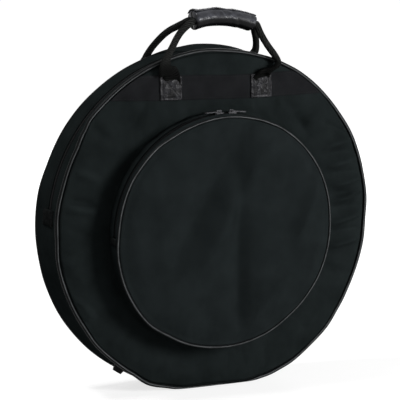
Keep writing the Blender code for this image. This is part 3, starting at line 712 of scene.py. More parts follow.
def hooked(name, colour, pitch):
    """The rough face of hook and loop tape: small dense tufts."""
    material, tree, shader = new_finish(name, colour, 0.95, Specular_IOR_Level=0.05, Sheen_Weight=0.2)
    where, _ = mottle(tree, shader, colour, 0.2, 0.01)
    tufts = add_node(tree, "TexVoronoi", {"Vector": where, "Scale": 1 / pitch})
    raised(tree, shader, tufts.outputs["Distance"], 0.0006, 0.8)
    return material


hook_tape = hooked("hook_tape", (0.012, 0.012, 0.012), 0.0011)
print("finishes:", len(bpy.data.materials))

# %% [markdown]
# The large panels are foam between cloth and lining. Each starts as a square grid, which is rounded to a disc,
# stood upright and pushed out into its crown and folds. Then the cloth is let go in a short simulation: it is
# held where it is sewn, pulled lightly outwards and allowed to grow by about a percent, so that it wrinkles by
# itself between its seams. Last it gets its thickness.

# %% Helpers for padded sheets


def round_sheet(name, radius, cells, side=-1):
    """An upright disc of square cells, whose front looks towards -Y, or towards +Y where side is 1."""
    sheet = grid(name, cells, cells)

    def disc(places):
        x, y = places[:, 0], places[:, 1]
        return np.stack([-side * x * np.sqrt(1 - y * y / 2) * radius, 0 * x, y * np.sqrt(1 - x * x / 2) * radius], 1)
    return reshape(sheet, disc)


def let_go(piece, held, pull, growth):
    """Lets the cloth settle between the places where it is held, and caps how far a corner may go."""
    take(piece)
    start = places_of(piece)
    sewn = piece.vertex_groups.new(name="sewn")
    shares = np.clip(held(start), 0, 1)
    for level in np.unique(np.round(shares, 1)):
        if level > 0:
            sewn.add(np.flatnonzero(np.round(shares, 1) == level).tolist(), float(level), "REPLACE")
    cloth = piece.modifiers.new("Cloth", "CLOTH")
    cloth.settings.vertex_group_mass = "sewn"
    cloth.settings.quality = 6
    cloth.settings.mass = 0.25
    cloth.settings.tension_stiffness = cloth.settings.compression_stiffness = 20
    cloth.settings.shear_stiffness = 6
    cloth.settings.bending_stiffness = 0.6
    cloth.settings.air_damping = 3
    cloth.settings.shrink_min = -growth
    cloth.collision_settings.use_collision = False
    scene.gravity = (0, pull, 0)
    for frame_number in range(1, settling_frames + 1):
        scene.frame_set(frame_number)
    bpy.ops.object.modifier_apply(modifier=cloth.name)
    scene.frame_set(1)
    scene.gravity = (0, 0, -9.81)
    moved = places_of(piece) - start
    length = np.maximum(np.linalg.norm(moved, axis=1, keepdims=True), 1e-9)
    print(piece.name, "moved by up to", round(float(length.max()) * 1000, 1), "mm before the cap")
    piece.vertex_groups.clear()
    capped = cloth_cap * np.tanh(length / cloth_cap)
    return reshape(piece, lambda now: start + moved * np.minimum(1, capped / length))


def pushed_to(piece, face, round_z):
    """Stands a disc at the height of its middle, and gives it the shape of a face."""
    reshape(piece, lambda p: p + np.array([0, 0, round_z]))
    return reshape(piece, lambda p: np.stack([p[:, 0], face(p[:, 0], p[:, 2]), p[:, 2]], 1))


def foamed(piece, thickness, inner):
    """Gives a sheet its foam: thickness inwards, with the lining's material on the inner side."""
    piece.data.materials.append(inner)
    modified(piece, "SOLIDIFY", thickness=thickness, offset=-1, use_rim=True, use_quality_normals=True,
             material_offset=1)
    modified(piece, "SUBSURF", levels=1, render_levels=1)
    return smooth(piece, 60)


def cushion(name, radius, cells, face, round_z, held, pull, growth, finish, thickness, shapes, side=-1):
    """A padded panel: a disc in the shape of its face, let go, given its foam, and passed through the shapes."""
    piece = round_sheet(name, radius, cells, side)
    pushed_to(piece, face, round_z)
    let_go(piece, held, pull, growth)
    lay_cloth(piece, flat_cloth)
    piece.data.materials.append(finish)
    foamed(piece, thickness, lining_cloth)
    for shape in shapes:
        reshape(piece, shape)
    print(name + ":", len(piece.data.polygons), "faces")
    return piece


# %% [markdown]
# The front panel. It is held along its rim, under the webbing band and along the pocket's seam. What it
# replaces are the three flat layers of the model: outer cloth, foam and lining.

# %% Front panel
seam_width, seam_fade, band_hold = 0.012, 0.006, 0.027


def sewn_back(places):
    """1 where a panel is held: along its rim and under its band."""
    x, y, z = places.T
    rim = np.clip((np.hypot(x, z - middle_z) - (panel_radius - seam_width)) / seam_fade, 0, 1)
    return np.maximum(rim, np.clip((band_hold - np.abs(z - band_z)) / seam_fade, 0, 1))


def sewn_front(places):
    """The front is held along the pocket's seam too."""
    away = np.hypot(places[:, 0], places[:, 2] - pocket_z)
    seam = np.clip((pocket_radius + 0.008 - away) / seam_fade, 0, 1)
    return np.maximum(sewn_back(places), seam)


def pocket_seam(x, z):
    """The panel dips along the line where the pocket is sewn on."""
    return 0.0022 * np.exp(-(((np.hypot(x, z - pocket_z) - pocket_radius - 0.003) / 0.0045) ** 2))


def pleated(places):
    """Presses the narrow pleats into the whole thickness of the front."""
    x, y, z = places.T
    reach = np.clip(np.hypot(x, z - middle_z) / panel_radius, 0, 1)
    return np.stack([x, y - folds(x, z - middle_z, front_pleats) * (1 - reach**36), z], 1)


front_cushion = cushion("front_cushion", panel_radius, 96, lambda x, z: front_face(x, z) + pocket_seam(x, z),
                        middle_z, sewn_front, -2.5, 0.012, bag_cloth, padding, (pleated, settled))
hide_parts("front_panel", "front_foam", "front_lining")
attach(front_cushion, "bag")

# %% [markdown]
# The back panel is the same disc, turned round. Its upper half opens with the zip like a door, about a fold
# just above the middle.

# %% Back panel
back_cushion = cushion("back_cushion", panel_radius, 84, back_face, middle_z, sewn_back, 2.0, 0.006, bag_cloth,
                       padding, (settled,), side=1)
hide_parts("back_panel_lower", "back_panel_upper", "back_foam_lower", "back_foam_upper",
            "back_lining_lower", "back_lining_upper")
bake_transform(back_cushion)

# %% [markdown]
# The edge of the bag is a strip as wide as the bag is deep. One upright section is made, a single row of faces
# across the strip, and the spin operator carries it round the bag's middle. That gives a closed solid with its
# cells in order, whose outer side can then be padded out.

# %% Helper for strips round a middle


def strip_round(name, inner, outer, y_from, y_to, start, end, steps, cells, round_z=middle_z):
    """A closed strip between two radii and two depths, from one angle to another."""
    strip = grid(name, 1, cells, size=1)
    turn = math.radians(start)

    def upright(places):
        away = (inner + outer) / 2 + places[:, 0] * (outer - inner)
        return at_angle(turn, away, 0 * away, (y_from + y_to) / 2 + places[:, 1] * (y_to - y_from), round_z)
    reshape(strip, upright)
    pick_all(strip)
    bpy.ops.mesh.spin(steps=steps, angle=math.radians(end - start), center=(0, 0, round_z), axis=(0, -1, 0))
    return close_up(strip)


def pushed_out(piece, amount, round_z=middle_z):
    """Moves each corner away from the middle by what a function of (angle, radius, y) says."""
    def out(places):
        x, y, z = places.T
        away = np.hypot(x, z - round_z)
        more = away + amount(angle_of(places, round_z), away, y)
        return to_radius(x, y, z, away, more, round_z)
    return reshape(piece, out)


# %% [markdown]
# The lower half of the edge, and the two strips on either side of the main zip. Foam fills them, so they swell
# between the welt and the zip, and thin out to plain cloth next to the zip. Little puckers run across them.

# %% Edge of the bag
edge_halfway, edge_lining_radius = 0.287, 0.2845


def puckers(angle, seed):
    """Uneven soft waves along a strip, as the sewing draws it in."""
    turn = np.radians(angle)
    return (np.sin(turn * 23 + seed) * np.sin(turn * 7.3 + 2 * seed) + 0.6 * np.sin(turn * 51 + 3 * seed)
            * np.sin(turn * 11.7 + seed)) * 0.0005


def edge_swell(angle, away, y, low, high, height, seed):
    across = np.clip((y - low) / (high - low), 0, 1)
    outer = np.clip((away - edge_halfway) / 0.004, 0, 1)
    return outer * (height * np.sin(np.pi * across) ** 0.7 + puckers(angle, seed) * np.sin(np.pi * across))


edge_lower = strip_round("edge_lower", edge_inner, edge_outer, -edge_y, edge_y, zip_end_angle + 0.05,
                         359.95 - zip_end_angle, 150, 14)
pushed_out(edge_lower, lambda a, r, y: edge_swell(a, r, y, -edge_y, edge_y, 0.0016, 0.7))
edge_front = strip_round("edge_front", edge_inner, edge_outer, -edge_y, zip_gap_front, -zip_end_angle,
                         zip_end_angle, 130, 9)
edge_back = strip_round("edge_back", edge_inner, edge_outer, zip_gap_back, edge_y, -zip_end_angle,
                        zip_end_angle, 130, 12)


def thinned(low, high):
    """The inner side comes up to the outer cloth between two depths, where the zip tape lies."""
    def amount(angle, away, y):
        inner = np.clip((edge_halfway - away) / 0.003, 0, 1)
        return inner * (cloth_underside - edge_inner) * np.clip((y - low) / (high - low), 0, 1)
    return amount


pushed_out(edge_front, thinned(-0.0300, -0.0272))
pushed_out(edge_back, thinned(0.0100, 0.0072))
pushed_out(edge_front, lambda a, r, y: edge_swell(a, r, y, -edge_y, -0.0165, 0.0012, 1.9))
pushed_out(edge_back, lambda a, r, y: edge_swell(a, r, y, -0.0035, edge_y, 0.0014, 4.1))
edge_strips = ((edge_lower, "bag", True, ("lower_gusset", "lower_gusset_foam", "lower_gusset_lining")),
               (edge_front, "bag", False, ("front_zip_gusset", "front_zip_gusset_foam")),
               (edge_back, "back_lid", False, ("back_zip_gusset", "back_zip_gusset_foam")))
for strip, body, backwards, old in edge_strips:
    lay_cloth(strip, rim_cloth(middle_z, bag_radius, backwards))
    strip.data.materials.append(bag_cloth)
    strip.data.materials.append(lining_cloth)
    for face in strip.data.polygons:
        x, y, z = face.center
        face.material_index = int(math.hypot(x, z - middle_z) < edge_lining_radius)
    reshape(strip, settled)
    smooth(strip, 50)
    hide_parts(*old)
    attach(strip, body)
print("edge strips:", [len(row[0].data.polygons) for row in edge_strips])

# %% [markdown]
# Welts: a cord in a strip of vinyl, sewn into the seam between panel and edge. Each starts as a torus. The
# wrap twists a little as it is sewn, so its thickness varies. Its cloth map runs along the cord and round it, and
# is 0 on the crest, which carries a painted highlight line. The crest lies some degrees outwards from straight ahead,
# or inwards where the angle is below 0.

# %% Welts


def welt(name, round_z, radius, y, thickness, settle, replaced, body=None, rounds=288, crest=-14):
    begin()
    bpy.ops.mesh.primitive_torus_add(major_radius=radius, minor_radius=thickness, major_segments=rounds,
                                     minor_segments=12, location=(0, y, round_z), rotation=(math.pi / 2, 0, 0))
    ring = added(name)

    def uneven(places):
        x, depth, z = places.T
        away = np.hypot(x, z - round_z)
        angle = angle_of(places, round_z)
        fat = 1 + 0.07 * np.sin(np.radians(angle) * 17) * np.sin(np.radians(angle) * 5.3 + 1)
        more = radius + (away - radius) * fat
        return to_radius(x, y + (depth - y) * fat, z, away, more, round_z)
    reshape(ring, uneven)

    def unrolled(places):
        out = np.hypot(places[:, 0], places[:, 2] - round_z) - radius
        front = np.sign(y) * (places[:, 1] - y)
        round_cord = np.arctan2(out, front) - math.radians(crest)
        return np.stack([np.radians(angle_of(places, round_z)) * radius,
                         (np.mod(round_cord + np.pi, 2 * np.pi) - np.pi) * thickness], 1)
    return dressed(ring, welt_vinyl, 60, body, replaced, settle, unrolled)


front_welt = welt("front_welt", middle_z, welt_radius, -welt_y, welt_thickness, settled, ["front_piping"], "bag")
back_welt = welt("back_welt", middle_z, welt_radius, welt_y, welt_thickness, settled,
                 ["back_piping_lower", "back_piping_upper"])
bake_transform(back_welt)
pocket_welt = welt("pocket_welt", pocket_z, pocket_edge_inner, pocket_welt_y, pocket_welt_thickness,
                   pocket_settled, ["pocket_piping_lower", "pocket_piping_upper"], rounds=216, crest=6)
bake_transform(pocket_welt)
print("welts:", [len(ring.data.polygons) for ring in (front_welt, back_welt, pocket_welt)])

# %% [markdown]
# Threads and zip teeth repeat hundreds of times, so each is modelled once, with few faces, and the spin
# operator lays copies along the rim. A stitch is a tiny flattened sphere. A zip tooth is one turn of the nylon
# coil: a short rod with rounded ends.

# %% Helpers for rows of small shapes


def one_stitch(length=0.0032, width=0.0009, height=0.0008):
    """One stitch, lying along X, with its back towards -Y."""
    begin()
    bpy.ops.mesh.primitive_uv_sphere_add(segments=6, ring_count=4, radius=0.5, rotation=(0, math.pi / 2, 0))
    stitch = added("stitch")
    bpy.ops.transform.resize(value=(length, height, width))
    bpy.ops.object.transform_apply(location=True, rotation=True, scale=True)
    return stitch


def one_tooth():
    """One turn of the zip's coil, lying along Y."""
    begin()
    bpy.ops.mesh.primitive_cylinder_add(vertices=6, radius=0.0008, depth=0.0036, rotation=(math.pi / 2, 0, 0))
    tooth = added("tooth")
    pick(tooth, "FACE", lambda middle, normal: abs(normal.y) > 0.9)
    bpy.ops.mesh.inset(thickness=0.0003, depth=0.0003)
    bpy.ops.object.mode_set(mode="OBJECT")
    return tooth


def laid_round(piece, name, radius, y, start, end, pitch, round_z=middle_z):
    """Stands a small shape on the rim at the start angle, and spins copies of it to the end angle."""
    piece.name = piece.data.name = name
    turn = math.radians(start)

    def on_rim(places):
        x, depth, z = places.T
        return at_angle(turn, radius + z, x, depth + y, round_z)
    reshape(piece, on_rim)
    count = int(radius * math.radians(end - start) / pitch)
    pick_all(piece)
    bpy.ops.mesh.spin(steps=count, dupli=True, angle=math.radians(end - start), center=(0, 0, round_z),
                      axis=(0, -1, 0))
    bpy.ops.object.mode_set(mode="OBJECT")
    return piece


def flat_stitch():
    """A stitch that lies on the rim, with its back outwards."""
    stitch = one_stitch()
    return reshape(stitch, lambda p: np.stack([p[:, 0], p[:, 2], -p[:, 1]], 1))


def finished_row(row, finish, settle, body):
    def unroll(places):
        return np.stack([np.arctan2(places[:, 0], places[:, 2] - middle_z) * bag_radius, places[:, 1]], 1)
    return dressed(row, finish, 60, body, settle=settle, cloth=unroll)


# %% [markdown]
# Two rows of stitches hold each edge strip to its zip tape. A row lies on the cloth, so its radius is the
# strip's own at that depth.

# %% Stitches along the edge
edge_rows = (("stitches_front_inner", -0.0182, "bag", 0.2932), ("stitches_front_outer", -0.0235, "bag", 0.2937),
             ("stitches_back_inner", -0.0018, "back_lid", 0.2932),
             ("stitches_back_outer", 0.0036, "back_lid", 0.2939))
for name, y, body, radius in edge_rows:
    row = laid_round(flat_stitch(), name, radius, y, -zip_end_angle + 0.3, zip_end_angle - 0.3, 0.0045)
    finished_row(row, thread, settled, body)
print("stitch rows:", len(edge_rows))

# %% [markdown]
# The main zip. Its two tapes lie under the edges of the strips, and each carries one half of the coil. The
# halves are offset by half a tooth, so that they mesh.

# %% Main zip


def zip_tape(name, radius, y_from, y_to, start, end, steps, round_z, settle, body, old):
    tape = strip_round(name, radius - 0.001, radius, y_from, y_to, start, end, steps, 4, round_z)
    return dressed(tape, tape_cloth, 40, body, [old], settle, rim_cloth(round_z, radius))


tooth_pitch = 0.0024
half_tooth = math.degrees(tooth_pitch / 2 / bag_radius)
for word, y_from, y_to, body in (("front", -0.0266, -0.0113, "bag"), ("back", -0.0087, 0.0066, "back_lid")):
    zip_tape(f"main_tape_{word}", main_tape_radius, y_from, y_to, -zip_end_angle, zip_end_angle, 130, middle_z,
             settled, body, f"{word}_zip_tape")
for name, y, body, offset in (("main_teeth_front", -0.0112, "bag", 0),
                              ("main_teeth_back", -0.0088, "back_lid", half_tooth)):
    teeth = laid_round(one_tooth(), name, main_tooth_radius, y, -zip_end_angle + 0.2 + offset,
                       zip_end_angle - 0.4 + offset, tooth_pitch)
    finished_row(teeth, coil_nylon, settled, body)
print("main zip laid")

# %% [markdown]
# Each end of the main zip is covered by a leatherette tab, folded and sewn in a box. It starts as a strip too.
# Bevelled edges and a raised middle make it look turned under.

# %% Tabs at the ends of the main zip


def end_tab(name, radius, thickness, y_from, y_to, start, end, round_z, settle, body, old, cells=10):
    tab = strip_round(name, radius, radius + thickness, y_from, y_to, start, end, 10, cells, round_z)
    middle_angle, half_angle = (start + end) / 2, abs(end - start) / 2

    def pillow(angle, away, y):
        along = np.clip(1 - np.abs((angle - middle_angle) / half_angle), 0, 1)
        across = np.clip(1 - np.abs((2 * y - y_from - y_to) / (y_to - y_from)), 0, 1)
        edge = np.minimum(along * 1.6, across)
        sewn = np.exp(-(((edge - 0.22) / 0.07) ** 2))
        outer = np.clip((away - radius - thickness / 2) / 0.0002, 0, 1)
        return outer * (0.0010 * np.clip(edge / 0.35, 0, 1) ** 0.5 - 0.0009 * sewn)
    pushed_out(tab, pillow, round_z)
    eased(tab, 0.0004)
    return dressed(tab, tab_leather, 45, body, [old], settle, rim_cloth(round_z, radius))


tab_length, tab_radius, tab_thickness, tab_gap = 0.027, 0.2934, 0.0016, 0.06
tab_reach = math.degrees(tab_length / bag_radius)
for word, start, end in (("right", zip_end_angle + tab_gap, zip_end_angle + tab_gap + tab_reach),
                         ("left", -zip_end_angle - tab_gap - tab_reach, -zip_end_angle - tab_gap)):
    end_tab(f"main_tab_{word}", tab_radius, tab_thickness, -0.030, 0.010, start, end, middle_z, settled, "bag",
            f"zip_end_tab_{word}")
for side, word in ((-1, "left"), (1, "right")):
    for place, y in (("front", -0.0265), ("back", 0.0065)):
        low, high = sorted((side * (zip_end_angle + 0.5), side * (zip_end_angle + tab_reach - 0.3)))
        row = laid_round(flat_stitch(), f"tab_stitches_{word}_{place}", 0.2954, y, low, high, 0.0042)
        finished_row(row, thread, settled, "bag")
print("tabs done")

# %% [markdown]
# The pocket is a smaller bag on the front: a face, an edge, a zip over its upper half and a welt. Its face has
# the deepest folds in the picture, which are part of its shape before the cloth is let go.

# %% Pocket face


def sewn_pocket(places):
    """The pocket's face is held along its rim."""
    return np.clip((np.hypot(places[:, 0], places[:, 2] - pocket_z) - 0.185) / seam_fade, 0, 1)


pocket_cushion = cushion("pocket_cushion", 0.1966, 84, pocket_face, pocket_z, sewn_pocket, -2.0, 0.010,
                         pocket_cloth, 0.0035, (pocket_settled,))
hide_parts("pocket_face_lower", "pocket_face_upper")
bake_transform(pocket_cushion)

# %% [markdown]
# The pocket's edge: one strip round its lower half, and two narrow strips with the zip between them round
# its upper half. Their feet are sunk a little into the front panel, where they are sewn on.

# %% Edge of the pocket


def pocket_swell(low, high, height, seed):
    def amount(angle, away, y):
        across = np.clip((y - low) / (high - low), 0, 1)
        return height * np.sin(np.pi * across) + 1.4 * puckers(angle, seed) * np.sin(np.pi * across) ** 0.5
    return amount


pocket_strips = (
    ("pocket_edge_lower", "pocket_lower_gusset", pocket_edge_front, pocket_edge_foot, 90.1, 269.9, 12, "bag", 0.0012),
    ("pocket_edge_base", "pocket_base_strip", -0.0657, pocket_edge_foot, -pocket_half_circle, pocket_half_circle,
     6, "bag", 0.0006),
    ("pocket_edge_lid", "pocket_lid_strip", pocket_edge_front, -0.0777, -pocket_half_circle, pocket_half_circle,
     5, "pocket_lid", 0.0005))
for name, old, y_from, y_to, start, end, cells, body, height in pocket_strips:
    strip = strip_round(name, pocket_edge_inner, pocket_edge_outer, y_from, y_to, start, end, 140, cells, pocket_z)
    pushed_out(strip, pocket_swell(y_from, y_to, height, 2.3 + cells), pocket_z)
    dressed(strip, pocket_cloth, 50, body, [old], pocket_settled,
            rim_cloth(pocket_z, pocket_radius, backwards=start > 0))
for name, y, body in (("pocket_stitches_base", -0.0640, "bag"), ("pocket_stitches_lid", -0.0793, "pocket_lid")):
    row = laid_round(flat_stitch(), name, 0.2003, y, -89, 89, 0.0045, pocket_z)
    finished_row(row, thread, pocket_settled, body)
for word, y_from, y_to, body in (("base", -0.0703, -0.0551, "bag"), ("lid", -0.0882, -0.0730, "pocket_lid")):
    zip_tape(f"pocket_tape_{word}", pocket_tape_radius, y_from, y_to, -pocket_half_circle, pocket_half_circle,
             110, pocket_z, pocket_settled, body, f"pocket_{word}_zip_tape")
pocket_half_tooth = math.degrees(tooth_pitch / 2 / pocket_radius)
for name, y, body, offset in (("pocket_teeth_base", -0.0704, "bag", 0),
                              ("pocket_teeth_lid", -0.0729, "pocket_lid", pocket_half_tooth)):
    teeth = laid_round(one_tooth(), name, pocket_edge_inner, y, -89.6 + offset, 89.2 + offset, tooth_pitch,
                       pocket_z)
    finished_row(teeth, coil_nylon, pocket_settled, body)
pocket_tab_length, pocket_tab_radius, pocket_tab_thickness, pocket_tab_start = 0.012, 0.2000, 0.0013, 90.1
pocket_tab_reach = math.degrees(pocket_tab_length / pocket_radius)
for word, start, end in (("right", pocket_tab_start, pocket_tab_start + pocket_tab_reach),
                         ("left", -pocket_tab_start - pocket_tab_reach, -pocket_tab_start)):
    end_tab(f"pocket_tab_{word}_cover", pocket_tab_radius, pocket_tab_thickness, -0.0866, -0.0566, start, end,
            pocket_z, pocket_settled, "bag", f"pocket_zip_tab_{word}", 8)
print("pocket edge done")

# %% [markdown]
# A band of webbing crosses the front and another crosses the back. Both carry the handles. The grid's rows
# are stretched until each one ends at the rim, and then they follow the panel's crown. Two rows of stitches
# hold each band.

# %% Webbing bands
webbing_thickness = 0.0018


def on_panel(places, face, side, lift=0.0):
    """Lays places (x, height over the panel, z) on a panel's face."""
    x, high, z = places.T
    return np.stack([x, face(x, z) + side * (high + lift), z], 1)


def band(name, face, side, body, old):
    piece = grid(name, 110, 10)

    def across(places):
        z = band_z + places[:, 1] * band_height / 2
        half = np.sqrt((panel_radius - 0.0005) ** 2 - (z - middle_z) ** 2)
        x = -side * places[:, 0] * half
        ease = 0.0002 * np.sin(x * 190) * np.abs(places[:, 1]) ** 3
        return on_panel(np.stack([x, 0 * x + webbing_thickness + ease, z], 1), face, side)
    reshape(piece, across)
    lay_cloth(piece, flat_cloth)
    modified(piece, "SOLIDIFY", thickness=webbing_thickness + 0.0005, offset=-1, use_rim=True)
    eased(piece, 0.0004)
    return dressed(piece, webbing, 50, body, [old], settled)


band("band_front_cloth", front_face, -1, "bag", "front_band")
band("band_back_cloth", back_face, 1, "back_lid", "back_band")


def joined(name, pieces):
    """Makes one piece of several."""
    take(pieces[0])
    for piece in pieces:
        piece.select_set(True)
    bpy.ops.object.join()
    whole = bpy.context.object
    whole.name = whole.data.name = name
    return whole


def sewn_line(x_from, z_from, x_to, z_to, pitch=0.0043):
    """A straight row of stitches in the upright plane, made with an array."""
    stitch = one_stitch()
    length = math.hypot(x_to - x_from, z_to - z_from)
    lean = math.atan2(z_to - z_from, x_to - x_from)
    count = max(2, int(length / pitch) + 1)
    step = length / (count - 1)
    modified(stitch, "ARRAY", count=count, use_relative_offset=False, use_constant_offset=True,
             constant_offset_displace=(step, 0, 0))

    def leaned(places):
        x, y, z = places.T
        return np.stack([x_from + x * math.cos(lean) - z * math.sin(lean), -y,
                         z_from + x * math.sin(lean) + z * math.cos(lean)], 1)
    return reshape(stitch, leaned)


def sewn_on(name, lines, face, side, lift, body):
    row = joined(name, [sewn_line(*line) for line in lines])
    reshape(row, lambda p: on_panel(p, face, side, lift))
    return dressed(row, thread, 60, body, settle=settled, cloth=flat_cloth)


high, low = band_z + 0.0172, band_z - 0.0172
for name, face, side, body in (("band_stitches_front", front_face, -1, "bag"),
                               ("band_stitches_back", back_face, 1, "back_lid")):
    sewn_on(name, ((-0.138, high, -0.112, high), (-0.069, high, 0.056, high), (0.099, high, 0.138, high),
                   (-0.188, low, -0.112, low), (-0.069, low, 0.056, low), (0.099, low, 0.188, low)),
            face, side, webbing_thickness, body)
print("bands sewn on")

# %% [markdown]
# A leatherette patch covers each end of each handle. It is pillowed by the webbing under it, drawn in by a sewn
# box with a cross, and creased. Its relief is one function, which the patch and its stitches share.

# %% Leather patches
patch_half_width, patch_half_height = 0.0195, 0.020


def patch_relief(x, z, seed):
    """How far a patch stands over the panel, from a place measured from the patch's middle."""
    u, v = x / patch_half_width, z / patch_half_height
    edge = np.maximum(np.abs(u), np.abs(v))
    pillow = 0.0034 + 0.0017 * (1 - edge**6)
    box = np.exp(-(((edge - 0.80) / 0.09) ** 2)) * 0.0009
    cross = np.exp(-((np.minimum(np.abs(u - v), np.abs(u + v)) / 0.10) ** 2)) * 0.0008 * (edge < 0.8)
    crease = 0.00045 * np.sin(9 * u + 3 * v + seed) * np.sin(4 * v - 5 * u + 2 * seed) * (1 - edge**4)
    turned = 0.0005 * np.exp(-(((edge - 0.96) / 0.05) ** 2))
    return pillow - box - cross + crease + turned


def patch(name, middle_x, face, side, body, old, seed):
    piece = grid(name, 36, 36)

    def laid(places):
        u, v = places[:, 0], places[:, 1]
        corner = 1 - 0.035 * (u * v) ** 8
        x, z = -side * u * corner * patch_half_width, v * corner * patch_half_height
        wobble = 0.0004 * np.sin(7 * v + seed) * np.abs(u) ** 3
        return on_panel(np.stack([middle_x + x + wobble, patch_relief(x, z, seed), band_z + z], 1), face, side)
    reshape(piece, laid)
    modified(piece, "SOLIDIFY", thickness=0.0022, offset=-1, use_rim=True)
    eased(piece, 0.0005)
    return dressed(piece, patch_leather, 50, body, [old], settled, flat_cloth)


def patch_stitches(name, middle_x, face, side, body, seed):
    w, h = patch_half_width * 0.80, patch_half_height * 0.80
    lines = ((-w, -h, w, -h), (-w, h, w, h), (-w, -h, -w, h), (w, -h, w, h), (-w, -h, w, h), (-w, h, w, -h))
    row = joined(name, [sewn_line(*line, pitch=0.0040) for line in lines])

    def laid(places):
        x, y, z = places.T
        high = patch_relief(x, z, seed) + 0.0001 + y
        return on_panel(np.stack([middle_x + x, high, band_z + z], 1), face, side)
    reshape(row, laid)
    return dressed(row, patch_thread, 60, body, settle=settled, cloth=flat_cloth)


for place, face, side, body in (("front", front_face, -1, "bag"), ("back", back_face, 1, "back_lid")):
    for word, sign in (("left", -1), ("right", 1)):
        seed = 1.3 + sign + side * 0.7
        middle_x = handles_middle + sign * patch_across
        patch(f"patch_{place}_{word}", middle_x, face, side, body, f"{place}_patch_{word}", seed)
        patch_stitches(f"patch_stitches_{place}_{word}", middle_x, face, side, body, seed)
print("patches done")

# %% [markdown]
# The handles are flat straps under the patches, gathered to a round cord above them. A grid is wrapped round a
# smooth curve: its rows go round the strap and its columns along it. Each knot of the curve has the strap's own
# half width and half thickness there, so flat and round parts are one piece.

# %% Helper for straps


def curve_through(rows, steps):
    """Points on a smooth curve through the rows, with that many steps from row to row."""
    rows = np.array(rows, float)
    padded = np.vstack([2 * rows[0] - rows[1], rows, 2 * rows[-1] - rows[-2]])
    found = []
    for a, b, c, d in zip(padded, padded[1:], padded[2:], padded[3:]):
        for t in np.arange(steps) / steps:
            found.append(0.5 * (2 * b + (c - a) * t + (2 * a - 5 * b + 4 * c - d) * t**2
                                + (3 * b - a - 3 * c + d) * t**3))
    return np.array([*found, rows[-1]])


def lofted(name, rows, steps=6, around=24, facing=(0, -1, 0), tucked=None, crumple=0.0):
    """A closed strap through rows of (x, y, z, half width, half thickness). tucked gives the way of its width at
    either end, where it lies flat under a patch and is gathered sideways."""
    line = curve_through(rows, steps)
    middle, wide, thick = line[:, :3], line[:, 3], line[:, 4]
    facing = np.array(facing, float)
    so_far = np.concatenate([[0], np.cumsum(np.linalg.norm(np.diff(middle, axis=0), axis=1))])
    ahead = np.gradient(middle, axis=0)
    ahead /= np.linalg.norm(ahead, axis=1, keepdims=True)
    width_way = np.cross(ahead, facing)
    width_way /= np.linalg.norm(width_way, axis=1, keepdims=True)
    face_way = np.cross(width_way, ahead)
    for end_way, far in zip(tucked or (), (so_far, so_far[-1] - so_far)):
        share = np.clip(1 - (far - 0.009) / 0.016, 0, 1)[:, None]
        share = share * share * (3 - 2 * share)
        width_way = width_way * (1 - share) + np.array(end_way, float) * share
        face_way = face_way * (1 - share) + facing * share
    width_way /= np.linalg.norm(width_way, axis=1, keepdims=True)
    face_way -= width_way * np.sum(face_way * width_way, axis=1, keepdims=True)
    face_way /= np.linalg.norm(face_way, axis=1, keepdims=True)
    strap = grid(name, len(line) - 1, around)

    def wrapped(places):
        i = np.rint((places[:, 0] + 1) / 2 * (len(line) - 1)).astype(int)
        turn = (places[:, 1] + 1) * np.pi + np.pi / 2
        flatness = np.clip((wide / thick - 1) / 4, 0, 1)[i]
        power = 1 - 0.55 * flatness
        c, s = np.cos(turn), np.sin(turn)
        across = np.sign(c) * np.abs(c) ** power * wide[i]
        out = np.sign(s) * np.abs(s) ** power * thick[i]
        out += crumple * flatness * np.sin(np.clip(across / wide[i], -1, 1) * 8 + so_far[i] * 60)
        return middle[i] + width_way[i] * across[:, None] + face_way[i] * out[:, None]
    reshape(strap, wrapped)
    flat = strap.data.uv_layers[0]
    flat.name = "cloth"
    coords = np.empty(len(flat.data) * 2, np.float32)
    flat.data.foreach_get("uv", coords)
    coords = coords.reshape(-1, 2) * np.array([so_far[-1], 0.040], np.float32)
    flat.data.foreach_set("uv", coords.ravel())
    return close_up(strap)


# %% [markdown]
# The front handle. In the picture its left end leaves the patch wide and flat, bulges to the left and is pulled
# up into the cord. Its right end is folded more sharply. Inside the grip it is straight and hidden.

# %% Front and back handles
grip_y, grip_z, grip_bend = -0.036, handle_z + handle_rise, 0.200
grip_half_length, grip_half_depth, grip_half_height = 0.0565, 0.018, 0.0142


def leaned(x, y, z):
    """The handles sit a little left of the middle, lean to the right as they rise, and are lower on the right."""
    rise = (z - handle_z) / handle_rise
    return np.stack([x + handles_middle + 0.0175 * rise, y, z - 0.06 * x * rise], 1)


def along_grip(share, y, high):
    """The place of a point of the grip's section, at a share of its length from its middle."""
    turn = share * grip_half_length / grip_bend
    away = grip_bend + high
    return leaned(away * np.sin(turn), y, grip_z - grip_bend + away * np.cos(turn))


def through_grip(y):
    shares = np.array([-1.10, -1.0, -0.5, 0.0, 0.5, 1.0, 1.10])
    return [(*place, 0.0060, 0.0058) for place in along_grip(shares, 0 * shares + y, 0 * shares)]


